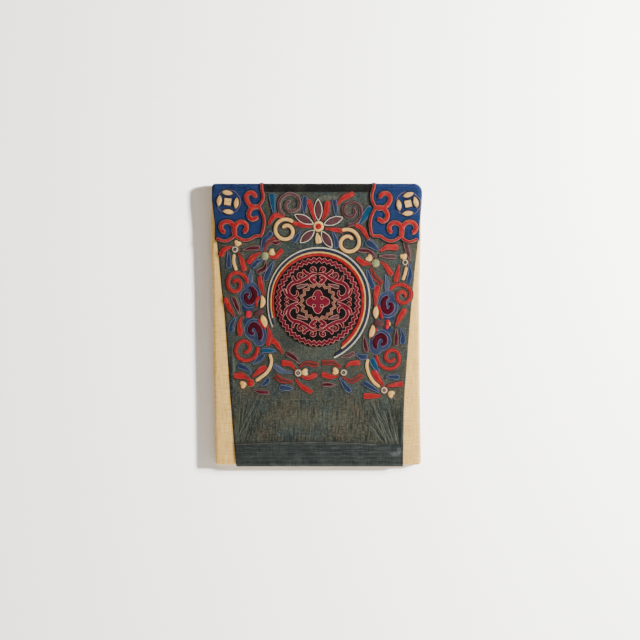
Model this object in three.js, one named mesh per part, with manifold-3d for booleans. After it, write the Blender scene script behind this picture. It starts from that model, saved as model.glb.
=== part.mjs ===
// An embroidered and appliqued cloth panel, sewn over the front of a board that is covered with linen.
// Millimetres, +Z up. The front faces -Y, and the origin is the middle of the board's flat back face.
import * as THREE from 'three';
import { mergeVertices } from 'three/addons/utils/BufferGeometryUtils.js';
import Module from 'manifold-3d';

// Driving dimensions of the board
const BOARD_HEIGHT = 700;
const BOARD_DEPTH = 30;
const FRONT_ROUND = 8;
const BACK_ROUND = 3;
const BOARD_TOP = BOARD_HEIGHT / 2;
const BOARD_BOTTOM = -BOARD_HEIGHT / 2;
const CORNER_RADIUS = { topLeft: 10, topRight: 17, bottom: 9 };

// The board's sides are a little uneven: where each side lies at five heights
const BOARD_SIDES = [
  { z: -350, left: -253.5, right: 262 },
  { z: -110, left: -257, right: 258.5 },
  { z: 90, left: -260, right: 257.5 },
  { z: 225, left: -264, right: 262 },
  { z: 350, left: -262, right: 260 },
];

// Layers, as distances in front of the board: every layer starts one gap above the one it lies on
const GAP = 0.3;
const FOLD_SLACK = 0.7;
const CLOTH = 2;
const PATCH = 1.5;
const RAISED = 2.2;
const LAYER = {
  ground: { inner: GAP, outer: GAP + CLOTH },
  patch: { inner: 2 * GAP + CLOTH, outer: 2 * GAP + CLOTH + PATCH },
  onGround: { inner: 2 * GAP + CLOTH, outer: 2 * GAP + CLOTH + RAISED },
  onPatch: { inner: 3 * GAP + CLOTH + PATCH, outer: 3 * GAP + CLOTH + PATCH + RAISED },
};

// The panel's flat cut, before it is folded over the board's edges
const CLOTH_EDGES = [
  { z: -356, left: -200.5, right: 216.5 },
  { z: -287, left: -207, right: 217.5 },
  { z: -187, left: -215, right: 219.5 },
  { z: -37, left: -225, right: 230.5 },
  { z: 31, left: -230, right: 236 },
  { z: 92, left: -237.5, right: 241.5 },
  { z: 161, left: -243.5, right: 248.5 },
  { z: 211, left: -249, right: 254.5 },
  { z: 232, left: -252.5, right: 255.5 },
  { z: 289, left: -259, right: 260.5 },
  { z: 312, left: -264, right: 264 },
  { z: 343, left: -268, right: 269 },
  { z: 364, left: -270, right: 264 },
];

// Creases of the ground cloth below the ornament: soft ridges from one point to another
const CREASES = [
  { x0: -209, z0: -160, x1: -207, z1: -285, height: 1.2, width: 7 },
  { x0: -140, z0: -190, x1: -196, z1: -286, height: 1.3, width: 8 },
  { x0: -158, z0: -195, x1: -180, z1: -284, height: 0.8, width: 7 },
  { x0: 148, z0: -192, x1: 166, z1: -284, height: 0.7, width: 7 },
  { x0: 176, z0: -186, x1: 194, z1: -284, height: 1.1, width: 7 },
  { x0: 205, z0: -176, x1: 210, z1: -286, height: 1.2, width: 6 },
];

// Bottom band and top band
const BOTTOM_BAND = { left: -296, middle: -290, right: -300 };
const TOP_BAND_EDGE = 332.7;

// Scalloped edges of the two corner patches: each row is a joint, and how far the next scallop bulges
const TRIM_WIDTH = 7.5;
const LEFT_TRIM = [
  { x: -138, z: 364, bulge: 0 },
  { x: -137, z: 338, bulge: 8 },
  { x: -145, z: 297, bulge: 11 },
  { x: -138.5, z: 223, bulge: 0 },
  { x: -153, z: 222, bulge: 11 },
  { x: -204, z: 223.5, bulge: 9.5 },
  { x: -250, z: 216, bulge: 0 },
];
const RIGHT_TRIM = [
  { x: 143, z: 364, bulge: 0 },
  { x: 144, z: 344, bulge: -8 },
  { x: 148, z: 294, bulge: -9 },
  { x: 139, z: 223, bulge: 0 },
  { x: 160, z: 222, bulge: -12 },
  { x: 211, z: 221.5, bulge: -10 },
  { x: 251, z: 214.5, bulge: 0 },
];
const CORNER_JOINT = 3;
const PATCH_FOOT = 214;
const FLANK_FOOT = 226;

// Curls of the red trim on the patches. Angles are in degrees, anticlockwise as seen from the front,
// and the radii are spaced evenly along the sweep
const TRIM_CURLS = {
  left: [
    { x: -163.8, z: 317.5, start: -56, sweep: -304, radii: [27, 12.5, 12.8, 13, 10.5] },
    { x: -157.5, z: 276.3, start: 63, sweep: 270, radii: [19.5, 12.5, 12.8, 10] },
    { x: -225, z: 243.8, start: -11, sweep: 270, radii: [19, 14.5, 14.3, 11.8] },
    { x: -186.3, z: 243.8, start: 192, sweep: -270, radii: [18, 14, 11.8, 12] },
  ],
  right: [
    { x: 170, z: 315, start: 225, sweep: 308, radii: [30, 15.8, 14.8, 14.3, 10.5] },
    { x: 165, z: 273.8, start: 131, sweep: -284, radii: [24.8, 14.5, 12.5, 14.5, 11.3] },
    { x: 195, z: 241.3, start: -4, sweep: 242, radii: [17.5, 14.3, 14, 12.5] },
    { x: 234.5, z: 242.5, start: 187, sweep: -263, radii: [19.8, 15, 14.5, 12.8] },
  ],
};
const TRIM_CURL_WIDTH = 11.5;
const TRIM_STEMS = {
  left: [
    { x0: -205.5, z0: 252, x1: -204.5, z1: 222, width: 13 },
    { x0: -158, z0: 295.5, x1: -142, z1: 295.5, width: 11 },
  ],
  right: [
    { x0: 214, z0: 250, x1: 212, z1: 220, width: 13 },
    { x0: 168, z0: 293.5, x1: 146, z1: 293.5, width: 11 },
  ],
};

// Coins: four lenses round a square
const COIN_LENSES = [
  { name: 'left_top', x: -223, z: 330.5, turn: -10 },
  { name: 'left_bottom', x: -220.5, z: 283, turn: -8 },
  { name: 'left_outer', x: -243, z: 310.5, turn: 82 },
  { name: 'left_inner', x: -200.5, z: 304.5, turn: 83 },
  { name: 'right_top', x: 229.5, z: 325.5, turn: 17 },
  { name: 'right_bottom', x: 228, z: 279, turn: 6 },
  { name: 'right_inner', x: 206, z: 299.5, turn: 98 },
  { name: 'right_outer', x: 248, z: 307, turn: 104 },
];
const COIN_SQUARES = [
  { name: 'left', x: -222, z: 308, turn: -8 },
  { name: 'right', x: 229, z: 303, turn: 12 },
];
const COIN_LENS = { length: 27, width: 11 };
const COIN_SQUARE = 15.5;

// Star flower above the medallion
const FLOWER = { x: 5, z: 246.5, heart: 8.3, ring: 13.5, rise: 2.6, petalStart: 15, petalWidth: 20 };
const PETALS = [
  { name: 'top', angle: 91, length: 68 },
  { name: 'right', angle: 20, length: 64 },
  { name: 'low_right', angle: -58, length: 62 },
  { name: 'low_left', angle: 222, length: 61 },
  { name: 'left', angle: 154, length: 66 },
];
const STUB = { x0: 1, z0: 230, x1: 6, z1: 204, width: 13 };

// Spirals of folded strip round the medallion
const SPIRALS = [
  {
    name: 'mauve', x: -66.3, z: 302.5, width: 9,
    start: 242, sweep: -442, radii: [33, 26, 25.5, 23, 14.5, 6.5],
  },
  {
    name: 'maroon', x: 88, z: 286, width: 8,
    start: -106, sweep: 450, radii: [37.5, 24.8, 20.5, 21.3, 18, 6.3],
  },
  {
    name: 'cream_left', x: -78.8, z: 237, width: 10,
    start: 45, sweep: 450, radii: [28.3, 25.8, 22.8, 22, 15, 6.5],
  },
  {
    name: 'cream_right', x: 82.5, z: 209, width: 10,
    start: 125, sweep: -450, radii: [33, 24.3, 25, 25, 15, 6.5],
  },
  {
    name: 'red_upper_left', x: -203.8, z: 105, width: 9,
    start: 0, sweep: 450, radii: [31.3, 25, 17.8, 21.3, 13.3, 6],
  },
  {
    name: 'red_upper_right', x: 215.5, z: 72.5, width: 8.5,
    start: 155, sweep: -450, radii: [35.8, 24, 17.5, 15.8, 13, 6.3],
  },
  {
    name: 'red_lower_left', x: -180, z: -62.5, width: 9,
    start: 13, sweep: -450, radii: [33.3, 26.8, 21.8, 25, 11.3, 6],
  },
  {
    name: 'red_lower_right', x: 187.5, z: -81.3, width: 8.5,
    start: 172, sweep: 450, radii: [37.8, 28.8, 19, 19, 14.5, 8.3],
  },
];

// Hooked velvet scrolls at the sides: a spine of points for each
const HOOK_WIDTH = 11.5;
const HOOKS = [
  {
    name: 'upper_left',
    spine: [
      [-166, 96], [-160, 88.5], [-157.5, 77], [-160.5, 66], [-168.5, 60], [-175.5, 64], [-177, 73],
    ],
  },
  {
    name: 'lower_left',
    spine: [
      [-145, -39], [-143, -29], [-145, -18], [-151.5, -8], [-159.5, -5], [-165.5, -11], [-163.5, -21],
    ],
  },
  {
    name: 'upper_right',
    spine: [[179, 70.5], [170.5, 63], [168.5, 50.5], [173, 38.5], [181.5, 35.5], [188, 42], [188, 49.5]],
  },
  {
    name: 'lower_right',
    spine: [[148.5, -60], [147.5, -49], [150, -37], [158.5, -28.5], [167.5, -31], [170.5, -40.5]],
  },
];

// Crescents beside the ring
const CRESCENTS = [
  { name: 'upper_left', width: 12, spine: [[-137.5, 75], [-133.5, 58], [-140, 42]] },
  { name: 'lower_left', width: 15, spine: [[-137, 26], [-131, 9], [-126.5, -7]] },
  { name: 'upper_right', width: 14, spine: [[150, 48.5], [148, 32], [149, 15]] },
  { name: 'lower_right', width: 14, spine: [[141, 1], [140, -15], [133, -33]] },
];

// The open ring of cords round the medallion: it spreads towards its two loose ends
const RING = {
  x: 5.75, z: 66, radius: 129,
  leftSpread: 8, rightSpread: 26,
  leftEnd: 212, rightEnd: -76,
};
const RING_CORDS = [
  { name: 'white', outside: 0, width: 5, from: 212, to: -76, cloth: 'white' },
  { name: 'navy', outside: 5.4, width: 5, from: 209, to: -74, cloth: 'navy' },
  { name: 'cream', outside: 10.8, width: 4.4, from: 203, to: -66, cloth: 'cream' },
  { name: 'red', outside: 15.6, width: 7, from: 203, to: -64, cloth: 'red' },
];

// The round medallion, a little taller than wide
const MEDALLION = { x: 5.5, z: 58, halfWidth: 105, halfHeight: 112.5, rise: 2.6, crown: 0.9 };

// Button knots
const BUTTONS = [
  { name: 'green_left', x: -128.5, z: 172.5, radius: 9.5, cloth: 'green' },
  { name: 'green_right', x: 148, z: 154.5, radius: 9.5, cloth: 'green' },
  { name: 'grey_left', x: -204, z: 189, radius: 8, cloth: 'pale' },
  { name: 'grey_right', x: 221.5, z: 156.5, radius: 7.5, cloth: 'pale' },
  { name: 'red_left', x: -165, z: -144.5, radius: 9, cloth: 'red' },
  { name: 'pink_right', x: 169, z: -163, radius: 8, cloth: 'pale' },
  { name: 'pale_left', x: -46, z: -120, radius: 9, cloth: 'pale' },
  { name: 'pale_right', x: 68, z: -119, radius: 8, cloth: 'pale' },
];
const BUTTON_RISE = 3;

// Cream stems that join the knots and the spirals
const STEM_WIDTH = 8;
const STEMS = [
  { name: 'upper_left', spine: [[-206, 177], [-207, 157], [-200, 136]] },
  { name: 'upper_right', spine: [[225, 145], [221, 128], [215.5, 112]] },
  { name: 'lower_left', spine: [[-117, -72], [-113, -94], [-124, -118], [-152, -140]] },
  {
    name: 'lower_right',
    spine: [[128.5, -85], [125.8, -104], [132.3, -126], [142.5, -142], [158, -155]],
  },
];

// How finely the shapes are divided. Sheets share their rows and columns where they fold over an edge
const FOLD_ROWS = [250, 270, 289, 300, 312, 323, 333, 338, 342, 345, 348, 351, 354.5, 364];
const FOOT_ROWS = [-342, -346, -350, -353, -356];
const CREASE_ROWS = { top: -186, bottom: -288, count: 6 };
const FOLD_COLUMNS = [0, 3.5, 7, 10.5, 14, 18, 22];
const FOLD_WIDTH = 26;
const GROUND_COLUMNS = 28;
const PATCH_COLUMNS = 10;
const ROUND_STEPS = 36;
const KNOT_STEPS = 14;
const CORNER_STEPS = 4;
const SCALLOP_STEPS = 8;
const TURN_STEP = 22.5;
const STATION = 9;
const TRIM_STATION = 8;
const PETAL_STATION = 7;
const CURVE_STATION = 6;
const LENS_STATION = 5;
const CORD_STATION = 15;
const FOLD_STATION = 3;
const SHOULDER = 1;
const POINTED = 1.5;
const WELD = 1e-3;

const COLOURS = {
  linen: 0xd9c29a,
  ground: 0x4a5450,
  band: 0x3a4243,
  black: 0x1b1c1e,
  blue: 0x24426f,
  red: 0xa62f2b,
  cream: 0xd3b483,
  white: 0xc9c4b8,
  navy: 0x2b3145,
  maroon: 0x5a2430,
  mauve: 0x7a545c,
  velvet: 0x2d0710,
  green: 0xa3b287,
  pale: 0xb9a08c,
};

const { Manifold, Mesh: SolidMesh } = await (async () => {
  const wasm = await Module();
  wasm.setup();
  return wasm;
})();

function clamp(value, low, high) {
  return Math.min(Math.max(value, low), high);
}

function radians(degrees) {
  return (degrees * Math.PI) / 180;
}

// Reads the columns of a table between its rows, which run upwards in z
function along(table, z, column) {
  const height = clamp(z, table[0].z, table[table.length - 1].z);
  const next = Math.max(1, table.findIndex((row) => row.z >= height));
  const low = table[next - 1];
  const high = table[next];
  const share = (height - low.z) / (high.z - low.z);
  return low[column] + share * (high[column] - low[column]);
}

function cornerRadius(x, z) {
  if (z < 0) {
    return CORNER_RADIUS.bottom;
  }
  return x < 0 ? CORNER_RADIUS.topLeft : CORNER_RADIUS.topRight;
}

// Where a point of the flat cut ends up once the cloth is laid on the board and folded over its edges
function wrap(x, z, lift) {
  const corner = cornerRadius(x, z);
  const left = along(BOARD_SIDES, z, 'left');
  const right = along(BOARD_SIDES, z, 'right');
  const coreX = clamp(x, left + corner, right - corner);
  const coreZ = clamp(z, BOARD_BOTTOM + corner, BOARD_TOP - corner);
  const reach = Math.hypot(x - coreX, z - coreZ);
  const flat = corner - FRONT_ROUND;
  if (reach <= flat) {
    return [x, -BOARD_DEPTH - lift, z];
  }
  const bend = Math.min((reach - flat) / FRONT_ROUND, Math.PI / 2);
  const run = reach - flat - bend * FRONT_ROUND;
  const round = FRONT_ROUND + lift + FOLD_SLACK * Math.sin(bend);
  const out = (flat + round * Math.sin(bend)) / reach;
  const y = FRONT_ROUND - BOARD_DEPTH - round * Math.cos(bend) + run;
  return [coreX + (x - coreX) * out, y, coreZ + (z - coreZ) * out];
}

// A closed mesh from points and triangles, turned so that its faces point out
function closedGeometry(points, triangles) {
  let volume = 0;
  for (const [a, b, c] of triangles) {
    const p = new THREE.Vector3(...points[a]);
    const q = new THREE.Vector3(...points[b]);
    const r = new THREE.Vector3(...points[c]);
    volume += p.dot(q.cross(r));
  }
  const ordered = volume > 0 ? triangles : triangles.map(([a, b, c]) => [a, c, b]);
  const geometry = new THREE.BufferGeometry();
  geometry.setAttribute('position', new THREE.Float32BufferAttribute(points.flat(), 3));
  geometry.setIndex(ordered.flat());
  geometry.computeVertexNormals();
  return geometry;
}

// The triangles between rings of equal length
function bandTriangles(rings) {
  const count = rings[0].length;
  const triangles = [];
  for (let ring = 0; ring + 1 < rings.length; ring += 1) {
    for (let k = 0; k < count; k += 1) {
      const a = ring * count + k;
      const b = ring * count + ((k + 1) % count);
      triangles.push([a, b, b + count], [a, b + count, a + count]);
    }
  }
  return triangles;
}

// Joins a list of rings of equal length into one closed tube, with a flat cap on each end
function loft(rings) {
  const count = rings[0].length;
  const triangles = bandTriangles(rings);
  const last = (rings.length - 1) * count;
  for (let k = 1; k + 1 < count; k += 1) {
    triangles.push([0, k + 1, k], [last, last + k, last + k + 1]);
  }
  return closedGeometry(rings.flat(), triangles);
}

// The linen board: rings of its outline from the flat back face round to the flat front face
function boardGeometry() {
  const corners = [
    { x: 1, z: 1, start: 0 },
    { x: -1, z: 1, start: 90 },
    { x: -1, z: -1, start: 180 },
    { x: 1, z: -1, start: 270 },
  ];
  const outline = (inset) => {
    const points = [];
    for (const corner of corners) {
      const radius = cornerRadius(corner.x, corner.z);
      const edge = corner.z > 0 ? BOARD_TOP : BOARD_BOTTOM;
      const side = along(BOARD_SIDES, edge, corner.x > 0 ? 'right' : 'left');
      for (const share of shares(CORNER_STEPS)) {
        const angle = radians(corner.start + share * 90);
        const x = side - corner.x * radius + (radius - inset) * Math.cos(angle);
        points.push([x, edge - corner.z * radius + (radius - inset) * Math.sin(angle)]);
      }
      const sides = corner.x === corner.z ? [] : BOARD_SIDES.slice(1, -1);
      const ordered = corner.x < 0 ? [...sides].reverse() : sides;
      for (const row of ordered) {
        points.push([(corner.x > 0 ? row.right : row.left) - corner.x * inset, row.z]);
      }
    }
    return points;
  };
  const levels = [
    { inset: BACK_ROUND, y: 0 },
    { inset: BACK_ROUND * (1 - Math.SQRT1_2), y: -BACK_ROUND * (1 - Math.SQRT1_2) },
    { inset: 0, y: -BACK_ROUND },
  ];
  for (const share of shares(CORNER_STEPS)) {
    const bend = radians(90 - share * 90);
    const inset = FRONT_ROUND * (1 - Math.sin(bend));
    levels.push({ inset, y: FRONT_ROUND - BOARD_DEPTH - FRONT_ROUND * Math.cos(bend) });
  }
  const rings = levels.map(({ inset, y }) => outline(inset).map(([x, z]) => [x, y, z]));
  const count = rings[0].length;
  const triangles = bandTriangles(rings);
  for (const [ring, flip] of [[0, true], [rings.length - 1, false]]) {
    const flat = rings[ring].map(([x, , z]) => new THREE.Vector2(x, z));
    for (const [a, b, c] of THREE.ShapeUtils.triangulateShape(flat, [])) {
      const face = [a, b, c].map((k) => ring * count + k);
      triangles.push(flip ? [face[0], face[2], face[1]] : face);
    }
  }
  return closedGeometry(rings.flat(), triangles);
}

// The columns of a sheet, each worked out from its left and right edges: fine ones where it folds over
function sheetColumns(count, foldsLeft, foldsRight) {
  const start = foldsLeft ? FOLD_WIDTH : 0;
  const end = foldsRight ? FOLD_WIDTH : 0;
  const even = shares(count).map((share) => (left, right) => {
    return left + start + share * (right - left - start - end);
  });
  const near = FOLD_COLUMNS.map((step) => (left) => left + step);
  const far = [...FOLD_COLUMNS].reverse().map((step) => (left, right) => right - step);
  return [...(foldsLeft ? near : []), ...even, ...(foldsRight ? far : [])];
}

// A sheet between two lifts over the board: place gives the flat cut's point for a column and a row
function sheetGeometry({ columns, rows, place, layer, relief = () => 0 }) {
  const points = [];
  for (const lift of [layer.inner, layer.outer]) {
    for (const row of rows) {
      for (const column of columns) {
        const [x, z] = place(column, row);
        points.push(wrap(x, z, lift + relief(x, z)));
      }
    }
  }
  const width = columns.length;
  const height = rows.length;
  const face = width * height;
  const triangles = [];
  for (let j = 0; j + 1 < height; j += 1) {
    for (let i = 0; i + 1 < width; i += 1) {
      const a = j * width + i;
      const c = a + width + 1;
      triangles.push([a, a + 1, c], [a, c, a + width]);
      triangles.push([face + a, face + c, face + a + 1], [face + a, face + a + width, face + c]);
    }
  }
  const rim = [];
  for (let i = 0; i + 1 < width; i += 1) {
    rim.push(i);
  }
  for (let j = 0; j + 1 < height; j += 1) {
    rim.push(j * width + width - 1);
  }
  for (let i = width - 1; i > 0; i -= 1) {
    rim.push((height - 1) * width + i);
  }
  for (let j = height - 1; j > 0; j -= 1) {
    rim.push(j * width);
  }
  rim.forEach((a, k) => {
    const b = rim[(k + 1) % rim.length];
    triangles.push([b, a, face + a], [b, face + a, face + b]);
  });
  return closedGeometry(points, triangles);
}

function shares(count) {
  return Array.from({ length: count + 1 }, (_, k) => k / count);
}

// A strip of folded cloth along a line on the flat cut, narrower at its top face than at its foot
function stripGeometry({ points, width, layer, step = STATION, blunt = false }) {
  const spine = points.map(([x, z]) => new THREE.Vector3(x, 0, z));
  const curve = new THREE.CatmullRomCurve3(spine, false, 'centripetal');
  const length = curve.getLength();
  const middle = width(0.5);
  const tip = Math.min(middle * 0.5, length / 4);
  const start = blunt ? 0 : tip;
  const inner = Math.max(1, Math.round((length - 2 * start) / step));
  const spacing = (length - 2 * start) / inner;
  const finer = Math.ceil(spacing / FOLD_STATION);
  const stations = shares(inner).flatMap((share) => {
    const distance = start + share * (length - 2 * start);
    const height = curve.getPointAt(distance / length).z;
    const folds = share < 1 && height > BOARD_TOP - CORNER_RADIUS.topRight;
    return folds ? shares(finer).slice(0, -1).map((part) => distance + part * spacing) : [distance];
  });
  if (!blunt) {
    stations.unshift(0, tip * 0.3);
    stations.push(length - tip * 0.3, length);
  }
  const rings = stations.map((distance) => {
    const share = distance / length;
    const at = curve.getPointAt(clamp(share, 0, 1));
    const tangent = curve.getTangentAt(clamp(share, 0, 1));
    const fromEnd = Math.min(distance, length - distance);
    const round = blunt ? 1 : Math.sqrt(1 - (1 - Math.min(fromEnd / tip, 1)) ** 2);
    const half = Math.max(0.7, (width(share) / 2) * round);
    const top = Math.max(0.35, half - SHOULDER);
    const across = [-tangent.z, tangent.x];
    const section = [
      [-half, layer.inner],
      [half, layer.inner],
      [top, layer.outer],
      [-top, layer.outer],
    ];
    return section.map(([offset, lift]) => {
      return wrap(at.x + across[0] * offset, at.z + across[1] * offset, lift);
    });
  });
  return loft(rings);
}

// Reads a smooth curve through evenly spaced values at a share from 0 to 1
function smoothly(values, share) {
  const at = clamp(share, 0, 1) * (values.length - 1);
  const k = Math.min(Math.floor(at), values.length - 2);
  const t = at - k;
  const [a, b] = [values[k], values[k + 1]];
  const before = values[k - 1] ?? 2 * a - b;
  const after = values[k + 2] ?? 2 * b - a;
  const rise = (b - before) / 2;
  const leave = (after - a) / 2;
  return a + t * (rise + t * (3 * (b - a) - 2 * rise - leave + t * (2 * (a - b) + rise + leave)));
}

function spiralPoints({ x, z, start, sweep, radii }) {
  const count = Math.ceil(Math.abs(sweep) / TURN_STEP);
  return shares(count).map((share) => {
    const radius = smoothly(radii, share);
    const angle = radians(start + sweep * share);
    return [x + radius * Math.cos(angle), z + radius * Math.sin(angle)];
  });
}

function scallopPoints(joints) {
  const points = [];
  joints.slice(0, -1).forEach((joint, k) => {
    const next = joints[k + 1];
    const dx = next.x - joint.x;
    const dz = next.z - joint.z;
    const length = Math.hypot(dx, dz);
    const count = joint.bulge === 0 ? 1 : SCALLOP_STEPS;
    for (let step = 0; step < count; step += 1) {
      const share = step / count;
      const push = joint.bulge * Math.sin(Math.PI * share);
      const x = joint.x + dx * share - (dz / length) * push;
      points.push([x, joint.z + dz * share + (dx / length) * push]);
    }
  });
  const last = joints[joints.length - 1];
  points.push([last.x, last.z]);
  return points;
}

// A turned piece whose axis points out of the front
function turnedGeometry(profile, halfWidth, halfHeight, steps) {
  const outline = profile.map(([radius, y]) => new THREE.Vector2(radius, y));
  const geometry = new THREE.LatheGeometry(outline, steps);
  geometry.scale(halfWidth, 1, halfHeight);
  geometry.deleteAttribute('normal');
  geometry.deleteAttribute('uv');
  return outward(mergeVertices(geometry, WELD));
}

// Turns a merged geometry so that its faces point out
function outward(geometry) {
  const position = geometry.getAttribute('position');
  const index = geometry.getIndex();
  const points = [];
  for (let k = 0; k < position.count; k += 1) {
    points.push([position.getX(k), position.getY(k), position.getZ(k)]);
  }
  const triangles = [];
  for (let k = 0; k < index.count; k += 3) {
    const face = [index.getX(k), index.getX(k + 1), index.getX(k + 2)];
    if (new Set(face).size === 3) {
      triangles.push(face);
    }
  }
  return closedGeometry(points, triangles);
}

function toSolid(geometry) {
  const position = geometry.getAttribute('position');
  return new Manifold(new SolidMesh({
    numProp: 3,
    vertProperties: new Float32Array(position.array),
    triVerts: new Uint32Array(geometry.getIndex().array),
  }));
}

function joined(geometries) {
  const solid = geometries.map(toSolid).reduce((whole, piece) => whole.add(piece));
  const mesh = solid.getMesh();
  const geometry = new THREE.BufferGeometry();
  geometry.setAttribute('position', new THREE.Float32BufferAttribute(mesh.vertProperties, 3));
  geometry.setIndex(Array.from(mesh.triVerts));
  return outward(mergeVertices(geometry, WELD));
}

const hanging = new THREE.Group();
hanging.name = 'textile_on_board';

function addPiece(name, geometry, cloth, roughness = 0.9) {
  const material = new THREE.MeshStandardMaterial({ color: COLOURS[cloth], roughness, metalness: 0 });
  const mesh = new THREE.Mesh(geometry, material);
  mesh.name = name;
  hanging.add(mesh);
  return mesh;
}

// A turned piece that lies on the ground cloth
function addTurned(name, { x, z, profile, cloth, halfWidth = 1, halfHeight = 1, steps = ROUND_STEPS }) {
  const mesh = addPiece(name, turnedGeometry(profile, halfWidth, halfHeight, steps), cloth);
  mesh.position.set(x, -BOARD_DEPTH - LAYER.onGround.inner, z);
}

// Height of the ground cloth's soft creases at a point of the flat cut
function creaseHeight(x, z) {
  let height = 0;
  for (const crease of CREASES) {
    const dx = crease.x1 - crease.x0;
    const dz = crease.z1 - crease.z0;
    const share = ((x - crease.x0) * dx + (z - crease.z0) * dz) / (dx * dx + dz * dz);
    if (share > 0 && share < 1) {
      const away = Math.hypot(x - crease.x0 - share * dx, z - crease.z0 - share * dz);
      height += crease.height * Math.sin(Math.PI * share) * Math.exp(-((away / crease.width) ** 2));
    }
  }
  return height;
}

function clothPlace(column, z) {
  return [column(along(CLOTH_EDGES, z, 'left'), along(CLOTH_EDGES, z, 'right')), z];
}

function addGround() {
  const { top, bottom, count } = CREASE_ROWS;
  const creased = shares(count).map((share) => top + share * (bottom - top));
  const between = CLOTH_EDGES.map((row) => row.z).filter((z) => z > top && z < FOLD_ROWS[0]);
  addPiece('ground_cloth', sheetGeometry({
    columns: sheetColumns(GROUND_COLUMNS, true, true),
    rows: [...creased, ...FOOT_ROWS, ...between, ...FOLD_ROWS].sort((a, b) => a - b),
    place: clothPlace,
    layer: LAYER.ground,
    relief: creaseHeight,
  }), 'ground');
}

function addBottomBand() {
  const upper = (x) => {
    const left = along(CLOTH_EDGES, BOTTOM_BAND.left, 'left');
    const share = (x - left) / (along(CLOTH_EDGES, BOTTOM_BAND.right, 'right') - left);
    const straightSeam = BOTTOM_BAND.left + (BOTTOM_BAND.right - BOTTOM_BAND.left) * share;
    const arch = BOTTOM_BAND.middle - (BOTTOM_BAND.left + BOTTOM_BAND.right) / 2;
    return straightSeam + arch * Math.sin(Math.PI * share);
  };
  addPiece('bottom_band', sheetGeometry({
    columns: sheetColumns(PATCH_COLUMNS, false, false),
    rows: [0, 0.5, ...FOOT_ROWS],
    place: (column, row) => {
      const [x, z] = clothPlace(column, Math.min(row, BOTTOM_BAND.left));
      return row < 0 ? [x, z] : [x, upper(x) + row * (FOOT_ROWS[0] - upper(x))];
    },
    layer: LAYER.patch,
  }), 'band');
}

// How far across a trim line reaches at a height, for the edges of the patches
function trimAcross(line, z) {
  const next = Math.max(1, line.findIndex((point) => point[1] <= z));
  const [x0, z0] = line[next - 1];
  const [x1, z1] = line[next];
  return x0 + (x1 - x0) * clamp((z - z0) / (z1 - z0), 0, 1);
}

function trimDown(line, x) {
  const ordered = line[0][0] < line[line.length - 1][0] ? line : [...line].reverse();
  const found = ordered.findIndex((point) => point[0] >= x);
  const next = found < 0 ? ordered.length - 1 : Math.max(1, found);
  const [x0, z0] = ordered[next - 1];
  const [x1, z1] = ordered[next];
  return z0 + (z1 - z0) * clamp((x - x0) / (x1 - x0), 0, 1);
}

function addTopBand() {
  const left = scallopPoints(LEFT_TRIM.slice(0, CORNER_JOINT + 1));
  const right = scallopPoints(RIGHT_TRIM.slice(0, CORNER_JOINT + 1));
  const clear = TRIM_WIDTH / 2 + 2 * GAP;
  addPiece('top_band', sheetGeometry({
    columns: sheetColumns(PATCH_COLUMNS, false, false),
    rows: [TOP_BAND_EDGE, ...FOLD_ROWS.filter((z) => z > TOP_BAND_EDGE)],
    place: (column, z) => [column(trimAcross(left, z) + clear, trimAcross(right, z) - clear), z],
    layer: LAYER.patch,
  }), 'black');
}

// A corner patch: rows up to 1 are shares of its scalloped foot, later rows are heights
function addPatch(side, joints) {
  const flank = scallopPoints(joints.slice(0, CORNER_JOINT + 1));
  const foot = scallopPoints(joints.slice(CORNER_JOINT));
  const knee = FOLD_ROWS[0];
  const isLeft = side === 'left';
  addPiece(`corner_patch_${side}`, sheetGeometry({
    columns: sheetColumns(PATCH_COLUMNS, isLeft, !isLeft),
    rows: [0, 0.4, ...FOLD_ROWS],
    place: (column, row) => {
      const height = row > 1 ? row : PATCH_FOOT + row * (knee - PATCH_FOOT);
      const reach = isLeft ? TRIM_WIDTH / 2 : -TRIM_WIDTH / 2;
      const inside = trimAcross(flank, row > 1 ? row : FLANK_FOOT) + reach;
      const outside = along(CLOTH_EDGES, height, side);
      const x = isLeft ? column(outside, inside) : column(inside, outside);
      const low = trimDown(foot, x) - TRIM_WIDTH / 2;
      return [x, row > 1 ? row : low + row * (knee - low)];
    },
    layer: LAYER.patch,
  }), 'blue');
}

// The two ends of a straight stem and its middle
function halved({ x0, z0, x1, z1 }) {
  return [[x0, z0], [(x0 + x1) / 2, (z0 + z1) / 2], [x1, z1]];
}

function addTrim(side, joints) {
  const edges = [joints.slice(0, CORNER_JOINT + 1), joints.slice(CORNER_JOINT)];
  const strips = edges.map((edge) => stripGeometry({
    points: scallopPoints(edge),
    width: () => TRIM_WIDTH,
    layer: LAYER.onPatch,
    step: TRIM_STATION,
    blunt: true,
  }));
  for (const curl of TRIM_CURLS[side]) {
    const points = spiralPoints(curl);
    strips.push(stripGeometry({ points, width: () => TRIM_CURL_WIDTH, layer: LAYER.onPatch }));
  }
  for (const stem of TRIM_STEMS[side]) {
    strips.push(stripGeometry({ points: halved(stem), width: () => stem.width, layer: LAYER.onPatch }));
  }
  addPiece(`corner_trim_${side}`, joined(strips), 'red', 0.75);
}

function turned(x, z, degrees) {
  const angle = radians(degrees);
  return [x * Math.cos(angle) - z * Math.sin(angle), x * Math.sin(angle) + z * Math.cos(angle)];
}

function lensWidth(widest) {
  return (share) => POINTED + (widest - POINTED) * Math.sin(Math.PI * clamp(share, 0.001, 0.999)) ** 0.8;
}

// A straight piece of a length at a place and a turn
function straight({ x, z, turn }, length) {
  return [-0.5, 0, 0.5].map((share) => {
    const [dx, dz] = turned(share * length, 0, turn);
    return [x + dx, z + dz];
  });
}

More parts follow.
